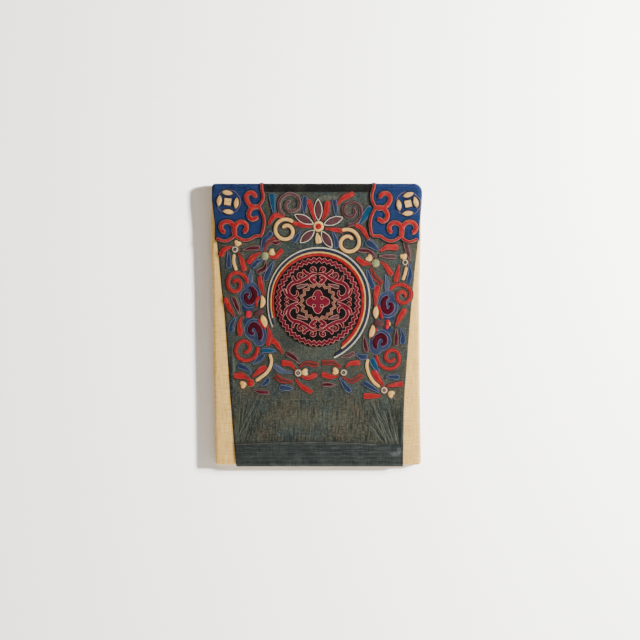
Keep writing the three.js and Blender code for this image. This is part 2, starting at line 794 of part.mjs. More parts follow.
function addCoins() {
  for (const lens of COIN_LENSES) {
    const points = straight(lens, COIN_LENS.length);
    const width = lensWidth(COIN_LENS.width);
    const geometry = stripGeometry({ points, width, layer: LAYER.onPatch, step: LENS_STATION });
    addPiece(`coin_${lens.name}`, geometry, 'cream');
  }
  for (const square of COIN_SQUARES) {
    const points = straight(square, COIN_SQUARE);
    const width = () => COIN_SQUARE;
    const geometry = stripGeometry({ points, width, layer: LAYER.onPatch, blunt: true });
    addPiece(`coin_${square.name}_square`, geometry, 'cream');
  }
}

function addFlower() {
  for (const petal of PETALS) {
    const points = [0, 0.5, 1].map((share) => {
      const out = FLOWER.petalStart + share * (petal.length - FLOWER.petalStart);
      const [dx, dz] = turned(out, 0, petal.angle);
      return [FLOWER.x + dx, FLOWER.z + dz];
    });
    const width = lensWidth(FLOWER.petalWidth);
    const geometry = stripGeometry({ points, width, layer: LAYER.onGround, step: PETAL_STATION });
    addPiece(`petal_${petal.name}`, geometry, 'maroon');
  }
  const { x, z, heart, ring, rise } = FLOWER;
  const hole = heart + GAP;
  const outer = [[ring - 0.5, 0], [ring, -1], [ring - 1.5, -rise]];
  const ringProfile = [[hole, 0], ...outer, [hole + 1, -rise], [hole, 0]];
  const dome = [[heart, -0.5 * rise], [heart * 0.6, -rise], [0, -rise - 0.4]];
  const heartProfile = [[0, 0], [heart, 0], ...dome];
  const steps = ROUND_STEPS / 2;
  addTurned('flower_ring', { x, z, profile: ringProfile, steps, cloth: 'cream' });
  addTurned('flower_heart', { x, z, profile: heartProfile, steps, cloth: 'red' });
  const stub = stripGeometry({ points: halved(STUB), width: () => STUB.width, layer: LAYER.onGround });
  addPiece('flower_stub', stub, 'cream');
}

function addSpirals() {
  for (const spiral of SPIRALS) {
    const points = spiralPoints(spiral);
    const geometry = stripGeometry({ points, width: () => spiral.width, layer: LAYER.onGround });
    addPiece(`spiral_${spiral.name}`, geometry, spiral.name.split('_')[0], 0.75);
  }
}

function addHooks() {
  for (const hook of HOOKS) {
    const width = () => HOOK_WIDTH;
    const step = CURVE_STATION;
    const geometry = stripGeometry({ points: hook.spine, width, layer: LAYER.onGround, step });
    addPiece(`hook_${hook.name}`, geometry, 'velvet');
  }
}

function addCrescents() {
  for (const crescent of CRESCENTS) {
    const geometry = stripGeometry({
      points: crescent.spine,
      width: lensWidth(crescent.width),
      layer: LAYER.onGround,
      step: CURVE_STATION,
    });
    addPiece(`crescent_${crescent.name}`, geometry, 'cream');
  }
}

function addStems() {
  for (const stem of STEMS) {
    const width = () => STEM_WIDTH;
    const geometry = stripGeometry({ points: stem.spine, width, layer: LAYER.onGround });
    addPiece(`stem_${stem.name}`, geometry, 'cream');
  }
}

// Radius of the open ring's outside at an angle
function ringRadius(angle) {
  const right = clamp(angle / RING.rightEnd, 0, 1) ** 1.5;
  const left = clamp((angle - 180) / (RING.leftEnd - 180), 0, 1) ** 1.2;
  return RING.radius + RING.rightSpread * right + RING.leftSpread * left;
}

function addRing() {
  for (const cord of RING_CORDS) {
    const points = shares(ROUND_STEPS).map((share) => {
      const angle = cord.from + (cord.to - cord.from) * share;
      const radius = ringRadius(angle) - cord.outside - cord.width / 2;
      return [RING.x + radius * Math.cos(radians(angle)), RING.z + radius * Math.sin(radians(angle))];
    });
    const width = () => cord.width;
    const geometry = stripGeometry({ points, width, layer: LAYER.onGround, step: CORD_STATION });
    addPiece(`ring_${cord.name}`, geometry, cord.cloth, 0.75);
  }
}

function addMedallion() {
  const { x, z, halfWidth, halfHeight, rise, crown } = MEDALLION;
  const edge = [[0, 0], [0.995, 0], [1, -0.8], [0.98, -rise]];
  const profile = [...edge, [0.6, -rise - 0.7 * crown], [0, -rise - crown]];
  addTurned('medallion', { x, z, profile, halfWidth, halfHeight, cloth: 'black' });
}

function addButtons() {
  const dome = [{ out: 1, up: 0.3 }, { out: 0.85, up: 0.7 }, { out: 0.45, up: 0.95 }, { out: 0, up: 1 }];
  const profile = [[0, 0], [0.96, 0], ...dome.map(({ out, up }) => [out, -up * BUTTON_RISE])];
  for (const { name, x, z, radius, cloth } of BUTTONS) {
    const size = { halfWidth: radius, halfHeight: radius, steps: KNOT_STEPS };
    addTurned(`button_${name}`, { x, z, profile, cloth, ...size });
  }
}

addPiece('linen_board', boardGeometry(), 'linen');
addGround();
addBottomBand();
addTopBand();
addPatch('left', LEFT_TRIM);
addPatch('right', RIGHT_TRIM);
addTrim('left', LEFT_TRIM);
addTrim('right', RIGHT_TRIM);
addCoins();
addFlower();
addSpirals();
addHooks();
addCrescents();
addRing();
addMedallion();
addButtons();
addStems();

export default hanging;
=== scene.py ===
"""An embroidered and appliqued cloth panel on a linen-covered board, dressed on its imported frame."""

import math

import bmesh
import bpy
import numpy as np
from bpy.props import FloatProperty, FloatVectorProperty, PointerProperty
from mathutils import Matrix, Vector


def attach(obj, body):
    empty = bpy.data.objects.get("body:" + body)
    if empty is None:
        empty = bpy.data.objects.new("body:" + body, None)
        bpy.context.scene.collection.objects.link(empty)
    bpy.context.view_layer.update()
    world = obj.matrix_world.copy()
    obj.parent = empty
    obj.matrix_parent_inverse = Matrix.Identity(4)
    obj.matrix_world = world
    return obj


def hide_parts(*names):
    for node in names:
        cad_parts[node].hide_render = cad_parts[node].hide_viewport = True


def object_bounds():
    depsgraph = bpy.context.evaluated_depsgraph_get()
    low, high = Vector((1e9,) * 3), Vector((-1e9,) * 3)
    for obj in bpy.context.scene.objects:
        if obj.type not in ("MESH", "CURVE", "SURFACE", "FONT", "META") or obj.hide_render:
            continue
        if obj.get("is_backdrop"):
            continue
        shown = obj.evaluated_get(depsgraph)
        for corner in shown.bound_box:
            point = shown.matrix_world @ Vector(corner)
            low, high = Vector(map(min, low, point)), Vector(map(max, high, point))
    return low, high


bl_info = {
    "name": "Embroidered Panel",
    "version": (1, 0, 0),
    "blender": (4, 5, 0),
    "location": "View3D > Sidebar > Panel",
    "description": "Builds an embroidered cloth panel on a linen-covered board",
    "category": "Object",
}

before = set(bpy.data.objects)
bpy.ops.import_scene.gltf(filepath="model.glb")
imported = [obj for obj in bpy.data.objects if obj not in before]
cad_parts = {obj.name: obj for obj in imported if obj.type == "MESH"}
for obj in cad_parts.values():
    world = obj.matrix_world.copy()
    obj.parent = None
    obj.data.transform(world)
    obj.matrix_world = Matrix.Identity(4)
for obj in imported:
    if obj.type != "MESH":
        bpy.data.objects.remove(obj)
CAD_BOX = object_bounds()

MM = 0.001
BODY = "root"

# The board. Every length down to the stage is in millimetres, unless its comment says cells
HALF_HEIGHT = 350
DEPTH = 30
FRONT_ROUND = 8
BACK_ROUND = 3
CORNERS = {"top_left": 10, "top_right": 17, "bottom": 9}
SIDE_HEIGHTS = (-350, -110, 90, 225, 350)
SIDES = {
    "left": (-253.5, -257, -260, -264, -262),
    "right": (262, 258.5, 257.5, 262, 260),
}

# How far the cloth stands off the board's rounded edge where it bends over it
FOLD_SLACK = 0.7

# Layers, as distances in front of the board: where each starts and how high it stands
GROUND = (0.3, 2.3)
PATCH = (2.6, 4.1)
ON_GROUND = (2.5, 4.9)
ON_PATCH = (4.3, 6.7)
LEAF = (2.5, 4.3)
HALO = (2.2, 2.9)
OVER_HALO = (2.8, 5.2)

# The edges of the cloth panel's flat cut
CUT_HEIGHTS = (-356, -287, -187, -37, 31, 92, 161, 211, 232, 289, 312, 343, 364)
CUT = {
    "left": (-200.5, -207, -215, -225, -230, -237.5, -243.5, -249, -252.5, -258, -260, -260, -260),
    "right": (216.5, 217.5, 219.5, 230.5, 236, 241.5, 248.5, 254.5, 255.5, 260.5, 264, 269, 264),
}

# The cut's foot and top, and how the rows of a sheet are spaced: closer where it folds over
CUT_FOOT = CUT_HEIGHTS[0]
CUT_TOP = CUT_HEIGHTS[-1]
ROW_STEP = 3.4
FOLD_START = 330
FOLD_STEP = 1.6
BAND_KNEE = -342

# Soft folds of the ground cloth: from one point to another, height and width
CREASES = (
    {"start": (-140, -190), "end": (-196, -286), "height": 0.9, "width": 4},
    {"start": (176, -186), "end": (194, -284), "height": 0.8, "width": 4},
    {"start": (-211, -20), "end": (-209, -190), "height": 0.9, "width": 4},
    {"start": (-225, -186), "end": (225, -190), "height": 0.5, "width": 2},
)

# How strongly the two flanks of a crease are painted lit and shaded in the ground cloth's colour
FLANK_TONE = 2.2

# Fine sharp pleats of the ground cloth: a fan at each side, from its top down to the seam.
# They are painted dark and light by turns: painted shade in their hollows, painted light on their folds
PLEAT_WIDTH = 1.7
PLEAT_FANS = (
    {"top": (-204, -132), "high": (-245, -170), "foot": (-204, -160), "count": 36},
    {"top": (-148, -128), "high": (-188, -172), "foot": (-204, -186), "count": 12},
    {"top": (211, 112), "high": (-255, -178), "foot": (212, 158), "count": 44},
    {"top": (200, 118), "high": (-200, -175), "foot": (212, 186), "count": 7},
)

# Soft spots, with their half sizes: worn ones of the ground cloth, worn ones of the bottom band,
# and painted shade on the ground cloth: a line above the bottom band's seam, strips along its two
# edges low down, and a painted shadow to the lower left of the medallion
WORN_SPOTS = (
    {"at": (33, 318), "half": (34, 8), "share": 0.8},
    {"at": (20, -75), "half": (90, 26), "share": 0.25},
    {"at": (0, -235), "half": (120, 30), "share": 0.3},
    {"at": (-60, 20), "half": (240, 10), "share": 0.05},
)
BAND_SPOTS = (
    {"at": (198, -322), "half": (18, 7), "share": 0.5},
    {"at": (206, -313), "half": (7, 12), "share": 0.4},
)
PAINTED_SHADE_SPOTS = (
    {"at": (0, -284), "half": (215, 7), "share": 0.12},
    {"at": (-208, -230), "half": (4, 60), "share": 0.35},
    {"at": (212, -230), "half": (4, 60), "share": 0.35},
    {"at": (-70, -40), "half": (40, 26), "share": 0.3},
)

# Heights: the bottom band's seam, the top band's lower edge, where a corner patch's rows turn
# from its scalloped foot to the board's top, and where its flank ends
BOTTOM_SEAM = {"left": -296, "middle": -290, "right": -300}
TOP_BAND_EDGE = 332.7
PATCH_KNEE = 250
FLANK_FOOT = 226

# Scalloped edges of the corner patches: joints, and how far the next scallop bulges
TRIM_WIDTH = 7.5
CORNER_JOINT = 3
TRIM_EDGES = {
    "left": (
        (-138, 364, 0), (-137, 338, 8), (-145, 297, 11), (-138.5, 223, 0),
        (-153, 222, 11), (-204, 223.5, 9.5), (-250, 216, 0),
    ),
    "right": (
        (143, 364, 0), (144, 344, -8), (148, 294, -9), (139, 223, 0),
        (160, 222, -12), (211, 221.5, -10), (251, 214.5, 0),
    ),
}
TRIM_CURL_WIDTH = 11.5
TRIM_CURLS = {
    "left": (
        {"at": (-163.8, 317.5), "start": -56, "sweep": -304, "radii": (27, 12.5, 12.8, 13, 10.5)},
        {"at": (-157.5, 276.3), "start": 63, "sweep": 270, "radii": (19.5, 12.5, 12.8, 10)},
        {"at": (-225, 243.8), "start": -11, "sweep": 270, "radii": (19, 14.5, 14.3, 11.8)},
        {"at": (-186.3, 243.8), "start": 192, "sweep": -270, "radii": (18, 14, 11.8, 12)},
    ),
    "right": (
        {"at": (170, 315), "start": 225, "sweep": 308, "radii": (30, 15.8, 14.8, 14.3, 10.5)},
        {"at": (165, 273.8), "start": 131, "sweep": -284, "radii": (24.8, 14.5, 12.5, 14.5, 11.3)},
        {"at": (195, 241.3), "start": -4, "sweep": 242, "radii": (17.5, 14.3, 14, 12.5)},
        {"at": (234.5, 242.5), "start": 187, "sweep": -263, "radii": (19.8, 15, 14.5, 12.8)},
    ),
}
TRIM_STEMS = {
    "left": (((-205.5, 252), (-204.5, 222), 13), ((-158, 295.5), (-142, 295.5), 11)),
    "right": (((214, 250), (212, 220), 13), ((168, 293.5), (146, 293.5), 11)),
}

# Coins: four lenses round a square on each patch, inside a thin ring of thread
COIN_LENS = {"length": 28, "width": 12.5}
COIN_SQUARE = 16.5
COINS = {
    "left": {
        "ring": (-220, 308, 30),
        "square": (-222, 308, -8),
        "lenses": ((-223, 330.5, -10), (-220.5, 283, -8), (-243, 310.5, 82), (-200.5, 304.5, 83)),
    },
    "right": {
        "ring": (228, 303, 30),
        "square": (229, 303, 12),
        "lenses": ((229.5, 325.5, 17), (228, 279, 6), (206, 299.5, 98), (248, 307, 104)),
    },
}

# Star flower above the medallion. Its petals have a direction in degrees and a reach
FLOWER = (5, 246.5)
FLOWER_HEART = 8.3
FLOWER_RING = 13.5
PETAL_START = 15
PETAL_WIDTH = 20
PETALS = {
    "top": (91, 68), "right": (20, 64), "low_right": (-58, 62), "low_left": (222, 61), "left": (154, 66),
}
STUB = ((1, 230), (6, 204), 13)

# Spirals of folded strip: middle, width, first angle and sweep in degrees, radii along the sweep
SPIRALS = {
    "mauve": {"at": (-66.3, 302.5), "width": 7.8, "start": 242, "sweep": -530,
              "radii": (33, 26, 25.5, 23, 16, 8, 5)},
    "maroon": {"at": (88, 286), "width": 7.4, "start": -106, "sweep": 530,
               "radii": (37.5, 25, 20.5, 21.3, 17, 8.5, 5.5)},
    "cream_left": {"at": (-78.8, 237), "width": 9, "start": 45, "sweep": 450,
                   "radii": (28.3, 25.8, 22.8, 22, 15, 6.5)},
    "cream_right": {"at": (82.5, 209), "width": 9, "start": 125, "sweep": -450,
                    "radii": (33, 24.3, 25, 25, 15, 6.5)},
    "red_upper_left": {"at": (-203.8, 105), "width": 7.8, "start": 0, "sweep": 530,
                       "radii": (31.3, 25, 17.8, 21.3, 14, 6.5, 2)},
    "red_upper_right": {"at": (215.5, 72.5), "width": 7.4, "start": 155, "sweep": -530,
                        "radii": (35.8, 25.5, 19, 17, 13, 9.5, 4.5)},
    "red_lower_left": {"at": (-180, -62.5), "width": 7.8, "start": 13, "sweep": -480,
                       "radii": (33.3, 26.5, 21.5, 22, 9.5, 4)},
    "red_lower_right": {"at": (187.5, -81.3), "width": 7.4, "start": 172, "sweep": 530,
                        "radii": (37.8, 29, 20, 19, 15, 10, 4.5)},
}

# Hooked velvet scrolls, each with a blue halo under it
HOOK_WIDTH = 13.5
HALO_REACH = 14.5
HOOKS = {
    "upper_left": ((-166, 95), (-159, 88), (-155, 77), (-159, 64), (-167, 57), (-174.5, 62.5), (-177, 71.5),
                   (-173.5, 77), (-168.5, 74)),
    "lower_left": ((-143, -38), (-140, -27), (-144, -12), (-150.5, -2), (-157.5, 0.5), (-164.5, -6),
                   (-166, -15), (-161, -21), (-156.5, -17.5)),
    "upper_right": ((180, 71), (170, 65), (167, 53), (170, 39.5), (177, 33), (186, 38), (189, 47),
                    (185, 53), (180, 49)),
    "lower_right": ((149, -59), (146, -46), (151, -32.5), (161.5, -26.5), (170, -33), (171, -43),
                    (166, -48.5), (161, -44)),
}

# Crescents beside the ring, each with a narrow red strip behind it
CRESCENTS = {
    "upper_left": (12, ((-137.5, 75), (-133.5, 58), (-140, 42))),
    "lower_left": (15, ((-137, 26), (-131, 9), (-126.5, -7))),
    "upper_right": (14, ((150, 48.5), (148, 32), (149, 15))),
    "lower_right": (14, ((141, 1), (140, -15), (133, -33))),
}
RED_STRIPS = (
    ((-145, 72), (-150, 60), (-151, 45)),
    ((-145, 15), (-139, 3), (-129, -10)),
    ((154, 50), (160, 32), (164, 15)),
    ((151, -8), (144, -20), (134, -31)),
)
RED_STRIP_WIDTH = 7

# Open ring of cords round the medallion: its ends in degrees, how far it opens out towards each,
# and how far each cord lies inside it
RING = {"at": (5.75, 66), "radius": 129, "left_spread": 8, "right_spread": 26,
        "left_end": 212, "right_end": -76}
RING_CORDS = {
    "white": {"outside": 0.2, "width": 3.8, "from": 212, "to": -76},
    "navy": {"outside": 4.4, "width": 6.4, "from": 209, "to": -74},
    "cream": {"outside": 11.2, "width": 4.4, "from": 203, "to": -66},
    "red": {"outside": 16, "width": 7.2, "from": 203, "to": -64},
}
RING_SQUEEZE = 0.27

# The medallion, the layer of the wide scrolls above its face, and the flower in its middle
MEDALLION = {"at": (3.5, 58), "half_width": 107.5, "half_height": 112.5, "rise": 2.6, "crown": 0.9}
SCROLL_LAYER = (-0.3, 1.2)
HEART = {"edge": 24.5, "swing": 5, "eye_reach": 14, "eye": 3.2}

# Wavy rings of cord on the medallion: share of its size, waves, and swing
BORDERS = {
    "crimson": ((0.942, 46, 0.027), (0.923, 46, 0.027), (0.904, 46, 0.027)),
    "pink": ((0.965, 46, 0.027), (0.881, 46, 0.027), (0.412, 16, 0.03), (0.35, 16, 0.03)),
    "tan": ((0.381, 16, 0.03),),
}
CORD_SHARES = {"crimson": 1.45, "pink": 0.53, "tan": 1.4}

# Wide scrolls of the upper right quarter, in millimetres from the medallion's middle
SCROLLS = (
    {"tone": "crimson", "width": 8, "ends": "flame", "line": (
        (2, 70), (14, 70), (28, 60), (46, 51), (64, 46), (74, 33), (71, 19), (60, 12), (51, 18),
        (53, 28))},
    {"tone": "crimson", "width": 7, "ends": "round", "line": ((22, 68), (31, 72), (37, 80))},
    {"tone": "crimson", "width": 8, "ends": "round", "line": (
        (3, 46), (11, 50), (17, 57), (10, 61), (6, 57))},
    {"tone": "crimson", "width": 7, "ends": "flame", "line": (
        (49, 3), (58, 6), (70, 12), (80, 20), (84, 33))},
    {"tone": "crimson", "width": 6, "ends": "flame", "line": ((54, 50), (61, 56), (63, 65))},
    {"tone": "mauve", "width": 8, "ends": "leaf", "line": ((26, 44), (37, 40), (52, 36))},
)

# Small scrolls of the same quarter: middle, size, first angle and sweep in degrees
MEDALLION_CURLS = (
    {"at": (43, 66), "size": 12, "start": 250, "sweep": 560},
    {"at": (13.5, 80), "size": 10, "start": 200, "sweep": -520},
    {"at": (79, 7), "size": 7.5, "start": 200, "sweep": 450},
)

# Padded knots: middle and radius
KNOTS = {
    "green_left": (-128.5, 172.5, 9.5), "green_right": (148, 154.5, 9.5),
    "grey_left": (-204, 189, 8), "grey_right": (221.5, 156.5, 7.5),
    "red_left": (-165, -144.5, 9), "pink_right": (169, -163, 8),
    "pale_left": (-46, -120, 9), "pale_right": (68, -119, 8),
}
KNOT_HEIGHT = 3.2

STEM_WIDTH = 8
STEMS = {
    "upper_left": ((-206, 177), (-207, 157), (-200, 136)),
    "upper_right": ((225, 145), (221, 128), (215.5, 112)),
    "lower_left": ((-117, -72), (-113, -94), (-124, -118), (-152, -140)),
    "lower_right": ((128.5, -85), (125.8, -104), (132.3, -126), (142.5, -142), (158, -155)),
}

# Small leaves, counted in cells of the drawing grid from the board's middle:
# root, middle and tip, then the widest width
CELL = 2.5
LEAST_WIDTH = 4.7
LEAVES = {
    "red": (
        (-6.5, 125.5, -5.25, 117, -1.5, 104.5, 5), (-31.5, 109, -42.5, 108.75, -48, 100.5, 5),
        (-4.5, 98, -16, 100.25, -23.5, 103.5, 4), (10, 124, 9.75, 113, 6, 104.5, 5.5),
        (38, 130.5, 26.5, 126.75, 20, 119.5, 5), (37.5, 99.5, 45.5, 96.5, 52.5, 85, 5),
        (8.5, 96.5, 17.5, 95.25, 26.5, 95.5, 4.5), (-84.5, 78.5, -92.5, 75.25, -95.5, 68, 4.8),
        (-78, 72, -74.5, 64.5, -73, 54, 5), (-56, 72.5, -63.25, 68, -68, 61, 5),
        (-48.5, 68.5, -41.25, 67.75, -34.5, 76, 5), (-56, 49, -55.75, 40.5, -52.5, 30, 4),
        (-92.5, 26.5, -87.5, 18, -82.5, 9, 4.5), (-75, 8, -77, 0, -75, -10.5, 4.5),
        (-49, -1, -46.5, -10.5, -50, -20.5, 4.5), (-46, -15, -39.5, -19.25, -33.5, -28.5, 4.7),
        (-82.5, -51.5, -73.5, -51.25, -67.5, -54.5, 6), (-51.5, -41, -56.75, -45.75, -64, -52, 5.5),
        (-35.5, -38.5, -26.5, -39, -21, -44.5, 5.5), (-15.5, -51.5, -8.5, -53, 0, -48.5, 5),
        (-21, -54, -15, -61, -4, -66.5, 4.5), (29, -42, 33.75, -38.5, 43.5, -38.5, 4.5),
        (5.5, -48, 13.5, -51.75, 21.5, -51.5, 4.5), (56, -46.5, 61.75, -53.75, 67, -60.5, 6),
        (70.5, -61.5, 78.5, -59.75, 86.5, -59.5, 5), (47, -72, 55.5, -71, 64.5, -71, 6),
        (87.5, 16.5, 84, 8.5, 79, -1, 5), (82.5, 60, 81, 51, 78, 43.5, 4.5),
        (63.5, 74, 70.5, 77.75, 81.5, 76.5, 6), (40.5, 68, 47, 62, 54.5, 60.5, 5),
        (64, 63, 69, 59.5, 74.5, 49.5, 4.5), (62.5, 39, 59.5, 30, 59, 19, 5),
    ),
    "brown_red": (
        (-16.5, -42, -10.5, -38.25, 1.5, -41, 4), (5.5, -38.5, 17, -37.75, 24, -42, 4),
        (54.5, 57, 57.75, 48.75, 66.5, 41.5, 4.5), (26.5, -52, 35, -56.25, 46, -49, 4),
        (-40.5, -50, -34, -55.5, -23.5, -57, 4), (-52, 74, -50.5, 81.25, -40.5, 85.5, 3.5),
    ),
    "maroon": (
        (-74, 74.5, -65.5, 76.75, -56.5, 76, 3), (-45.5, 83, -40.5, 82, -36.5, 84, 4),
        (-50.5, 64.5, -51.75, 57, -60.5, 52.5, 5), (-82.5, 28.5, -79.5, 18.5, -76.5, 10.5, 3.5),
        (-63.5, -65, -56.5, -67, -47.5, -66.5, 4.5), (-30.5, -28.5, -23, -32, -16.5, -38, 5),
        (5.5, -59, 11.5, -59.5, 18.5, -60, 4), (47.5, -11, 49, -21, 49.5, -27, 3.5),
        (80, -4, 79.75, -12, 78.5, -20.5, 4), (41.5, 74, 52.5, 73.75, 59.5, 67.5, 4),
    ),
    "mauve": (
        (24.5, -32, 31.5, -31, 37.5, -27, 4.5), (87.5, 83.5, 91.5, 74, 93.5, 64, 4),
        (62.5, 69, 71, 68.5, 79.5, 67, 5),
    ),
    "teal": (
        (-46, 131, -43.75, 122, -42.5, 111.5, 5.5), (54, 118, 49, 110, 43, 100.5, 7),
        (-54.5, -24.5, -48.5, -25.5, -40.5, -26, 4.5), (54, -34, 59, -41.75, 62, -48, 5),
    ),
    "blue": (
        (-11.5, 128.5, -12, 120, -12.5, 111.5, 5), (17, 125, 19, 117, 19.5, 109, 4),
        (-16, 94, -19, 89, -22.5, 83, 4.5), (16.5, 93, 19.5, 84, 19, 77, 4),
        (-88.2, 73, -87.5, 65, -88.5, 57, 4.5), (-43.5, 92, -52.5, 84, -55, 74, 5),
        (-53.5, 65.5, -59.5, 63, -64, 57, 3), (-43.5, 63, -47.5, 54.25, -52.5, 45.5, 5.5),
        (-81, 7.5, -85, 0, -85, -7, 4.5), (-78.5, -41, -71, -43.25, -65.5, -47.5, 4.5),
        (-53.5, -29, -58, -34.5, -63.5, -39, 5), (-48.5, -53, -50, -57, -55.5, -61, 4),
        (-36.5, -61.5, -30.5, -63, -23.5, -64, 5), (23.5, -53, 28.5, -61, 34.5, -66, 4),
        (39.5, -29, 45.5, -32, 50.5, -31, 5), (69.5, -52, 75.5, -52, 82.5, -53, 4.5),
        (46.5, -58, 54.5, -62, 62.5, -67, 5), (84.5, -4, 86.5, -11, 85, -19, 4),
        (92.5, 61, 93.75, 51, 90.5, 42, 4.5), (49.5, 83, 56.5, 79, 62, 74.5, 6),
        (50.5, 55, 53.5, 44.5, 58, 37, 5.5),
    ),
    "grey_blue": (
        (-65.5, 55, -66, 48, -67.5, 42, 2.5), (-42.5, -39, -34.5, -46, -24.5, -48, 5),
        (69.5, 50, 70.5, 42, 69.5, 34, 3),
    ),
}

# The narrow core down the middle of each leaf of some tones: its tone, its share of the leaf's
# width, where along the leaf it starts and ends, and its layer
LEAF_CORES = {"maroon": "velvet", "brown_red": "maroon", "mauve": "maroon"}
CORE_SHARE = 0.42
CORE_SPAN = (0.25, 0.86)
LEAF_CORE = (LEAF[1] - 0.3, LEAF[1] + 0.5)

# The middles of the two twists between the hooks
TWISTS = ((-150, 30), (156, 3))

# Heart-shaped buds beside the knots, in cells, and how far they reach at some angles from the notch
BUD_ANGLES = (0, 20, 45, 70, 110, 180)
BUD_REACH = (6.6, 9, 11, 10, 7, 6.6)
HEARTS = (
    (-79, 81.4), (87.4, 67.8), (-72.8, -59.5), (74, -68.8), (-45, 72.2), (53.2, 66.6), (-12.2, -47.4),
    (19.4, -46.4),
)

# Patches of the twists: middle, half width, half height, turn, in cells
BUDS = {
    "blue": (
        (-69.4, 16.8, 5.5, 3.6, -10), (-67.9, 3.9, 5.8, 3, 5), (72.5, 6.6, 6, 3.2, -15),
        (71.1, -5.1, 5.6, 3.6, 10),
    ),
    "maroon": ((-57.8, 12.3, 5.6, 3.2, 25), (62.1, 1.6, 5.4, 3.3, -12)),
    "rose": ((-68.1, 10.7, 3.5, 3.7, 0), (71.1, 3.1, 2.6, 2.4, 0), (70.2, -1.9, 2.1, 2.5, 0)),
    "cream": ((73, 1.2, 0.9, 2.3, 0),),
}

# Which of the record's finishes each tone of cloth is
SLOTS = {tone: slot for slot, tones in {
    "blue_cotton": ("blue", "teal", "grey_blue"),
    "red_applique": ("red", "brown_red", "crimson", "rose"),
    "cream_applique": ("cream",),
    "maroon_applique": ("maroon", "mauve"),
    "dark_velvet": ("velvet",),
    "green_button": ("green",),
    "pale_cord": ("grey", "pink", "pale", "white"),
    "navy_cord": ("navy",),
}.items() for tone in tones}

# Which tone of cord is couched round the pieces of each tone, and its share of the usual radius
EDGINGS = {
    "red": "coral", "brown_red": "coral", "maroon": "grey", "mauve": "grey", "cream": "tan",
    "petal": "white", "trim": "grey", "coin": "grey", "teal": "lilac", "blue": "lilac",
    "grey_blue": "lilac",
}
EDGING_SHARES = {"white": 1.25, "dark": 1.3, "moss": 0.7, "tan": 0.85, "grey": 0.8}

# How far outside a strip's edge each cord runs, and how high above the strip's foot
EDGE_CORD = (0.4, 0.9)
# The dark cords round each strip, and those beside the ring's cords, are painted shade where the pieces
# meet the ground
PAINTED_SHADE_CORD = (2.3, 0.2)
MOSS_CORD = (3.3, 0.1)
RING_PAINTED_SHADE_CORD = (0.4, 0.2)

# The four quarters, as the signs of x and z
QUARTERS = ((-1, -1), (-1, 1), (1, -1), (1, 1))


def tint(code):
    """A colour written as six hex digits, as the linear numbers that Blender mixes."""
    parts = [int(code[k:k + 2], 16) / 255 for k in (0, 2, 4)]
    linear = [p / 12.92 if p <= 0.04045 else ((p + 0.055) / 1.055) ** 2.4 for p in parts]
    return (*linear, 1.0)


def dye(label, text, code):
    """A colour that a user can change."""
    return FloatVectorProperty(
        name=label, description=text, subtype="COLOR", size=4, min=0, max=1, default=tint(code)
    )


def measure(label, text, millimetres):
    """A length that a user can change."""
    return FloatProperty(
        name=label, description=text, unit="LENGTH", precision=5, min=0.00005, max=0.2,
        default=millimetres * MM,
    )


def wattage(label, text, watts):
    """The power of a light that a user can change."""
    return FloatProperty(name=label, description=text, unit="POWER", min=0, default=watts)


class PanelSizes(bpy.types.PropertyGroup):
    """Sizes of the threads, stitches and folds."""

    couching_radius: measure("Couching radius", "Radius of the cord sewn along each edge", 0.9)
    embroidery_radius: measure("Embroidery radius", "Radius of the medallion's cords", 1.0)
    coin_thread_radius: measure("Coin thread radius", "Radius of the ring round each coin", 0.6)
    stitch_length: measure("Stitch length", "Length of a seam stitch", 3.6)
    stitch_spacing: measure("Stitch spacing", "Distance between seam stitches", 6.5)
    stitch_radius: measure("Stitch radius", "Half the thickness of a stitch", 0.45)
    weave_pitch: measure("Weave pitch", "Distance between two threads of the ground", 0.9)
    linen_pitch: measure("Linen pitch", "Distance between two threads of the linen", 1.1)
    ripple_height: measure("Ripple height", "Height of the ground cloth's ripples", 0.35)
    turn_over: measure("Turn-over", "How far the linen reaches over the back", 48)
    staple_spacing: measure("Staple spacing", "Distance between staples on the back", 62)


class PanelColours(bpy.types.PropertyGroup):
    """Colours of the cloths and threads."""

    linen: dye("Linen", "Natural linen", "e2ba6e")
    linen_slub: dye("Linen slubs", "Darker threads of the linen", "c29a52")
    ground: dye("Ground", "Faded cotton of the ground", "2c302d")
    ground_worn: dye("Worn ground", "Where the ground is rubbed", "3e4036")
    band: dye("Bottom band", "Darker cloth of the foot", "202525")
    black: dye("Black", "Black cotton", "0d0e0e")
    blue_patch: dye("Patch blue", "Blue cotton of the corners", "122247")
    blue: dye("Blue", "Blue silk", "1c273e")
    teal: dye("Teal", "Teal silk", "0d364f")
    grey_blue: dye("Grey blue", "Faded blue silk", "3a4252")
    halo: dye("Halo", "Blue silk under the velvet", "242c42")
    red: dye("Red", "Red silk", "831118")
    brown_red: dye("Brown red", "Faded red silk", "5e2018")
    cream: dye("Cream", "Cream silk", "c59753")
    maroon: dye("Maroon", "Maroon silk", "41262a")
    mauve: dye("Mauve", "Mauve silk", "4a3435")
    velvet: dye("Velvet", "Wine velvet", "2e030d")
    green: dye("Green", "Pale green silk", "7c8359")
    grey: dye("Grey", "Grey silk", "79635d")
    pink: dye("Pink", "Pink silk", "bd7d73")
    pale: dye("Pale", "Pale silk", "907f64")
    white: dye("White", "White cord", "b4b09c")
    navy: dye("Navy", "Navy cord", "1f2436")
    crimson: dye("Crimson", "Crimson thread", "57081d")
    tan: dye("Tan", "Tan thread", "76573b")
    lilac: dye("Lilac", "Lilac thread", "555c75")
    coral: dye("Coral", "Coral thread", "883833")
    rose: dye("Rose", "Rose silk", "9c1626")
    moss: dye("Moss", "Grey-green thread", "5a6156")
    # Dark thread: laid round the pieces and between the ring's cords as painted shade, and as the dark eye
    # of the pale knots
    dark: dye("Dark", "Dark outline thread", "0f1216")
    backboard: dye("Back board", "Grey board on the back", "a89f90")


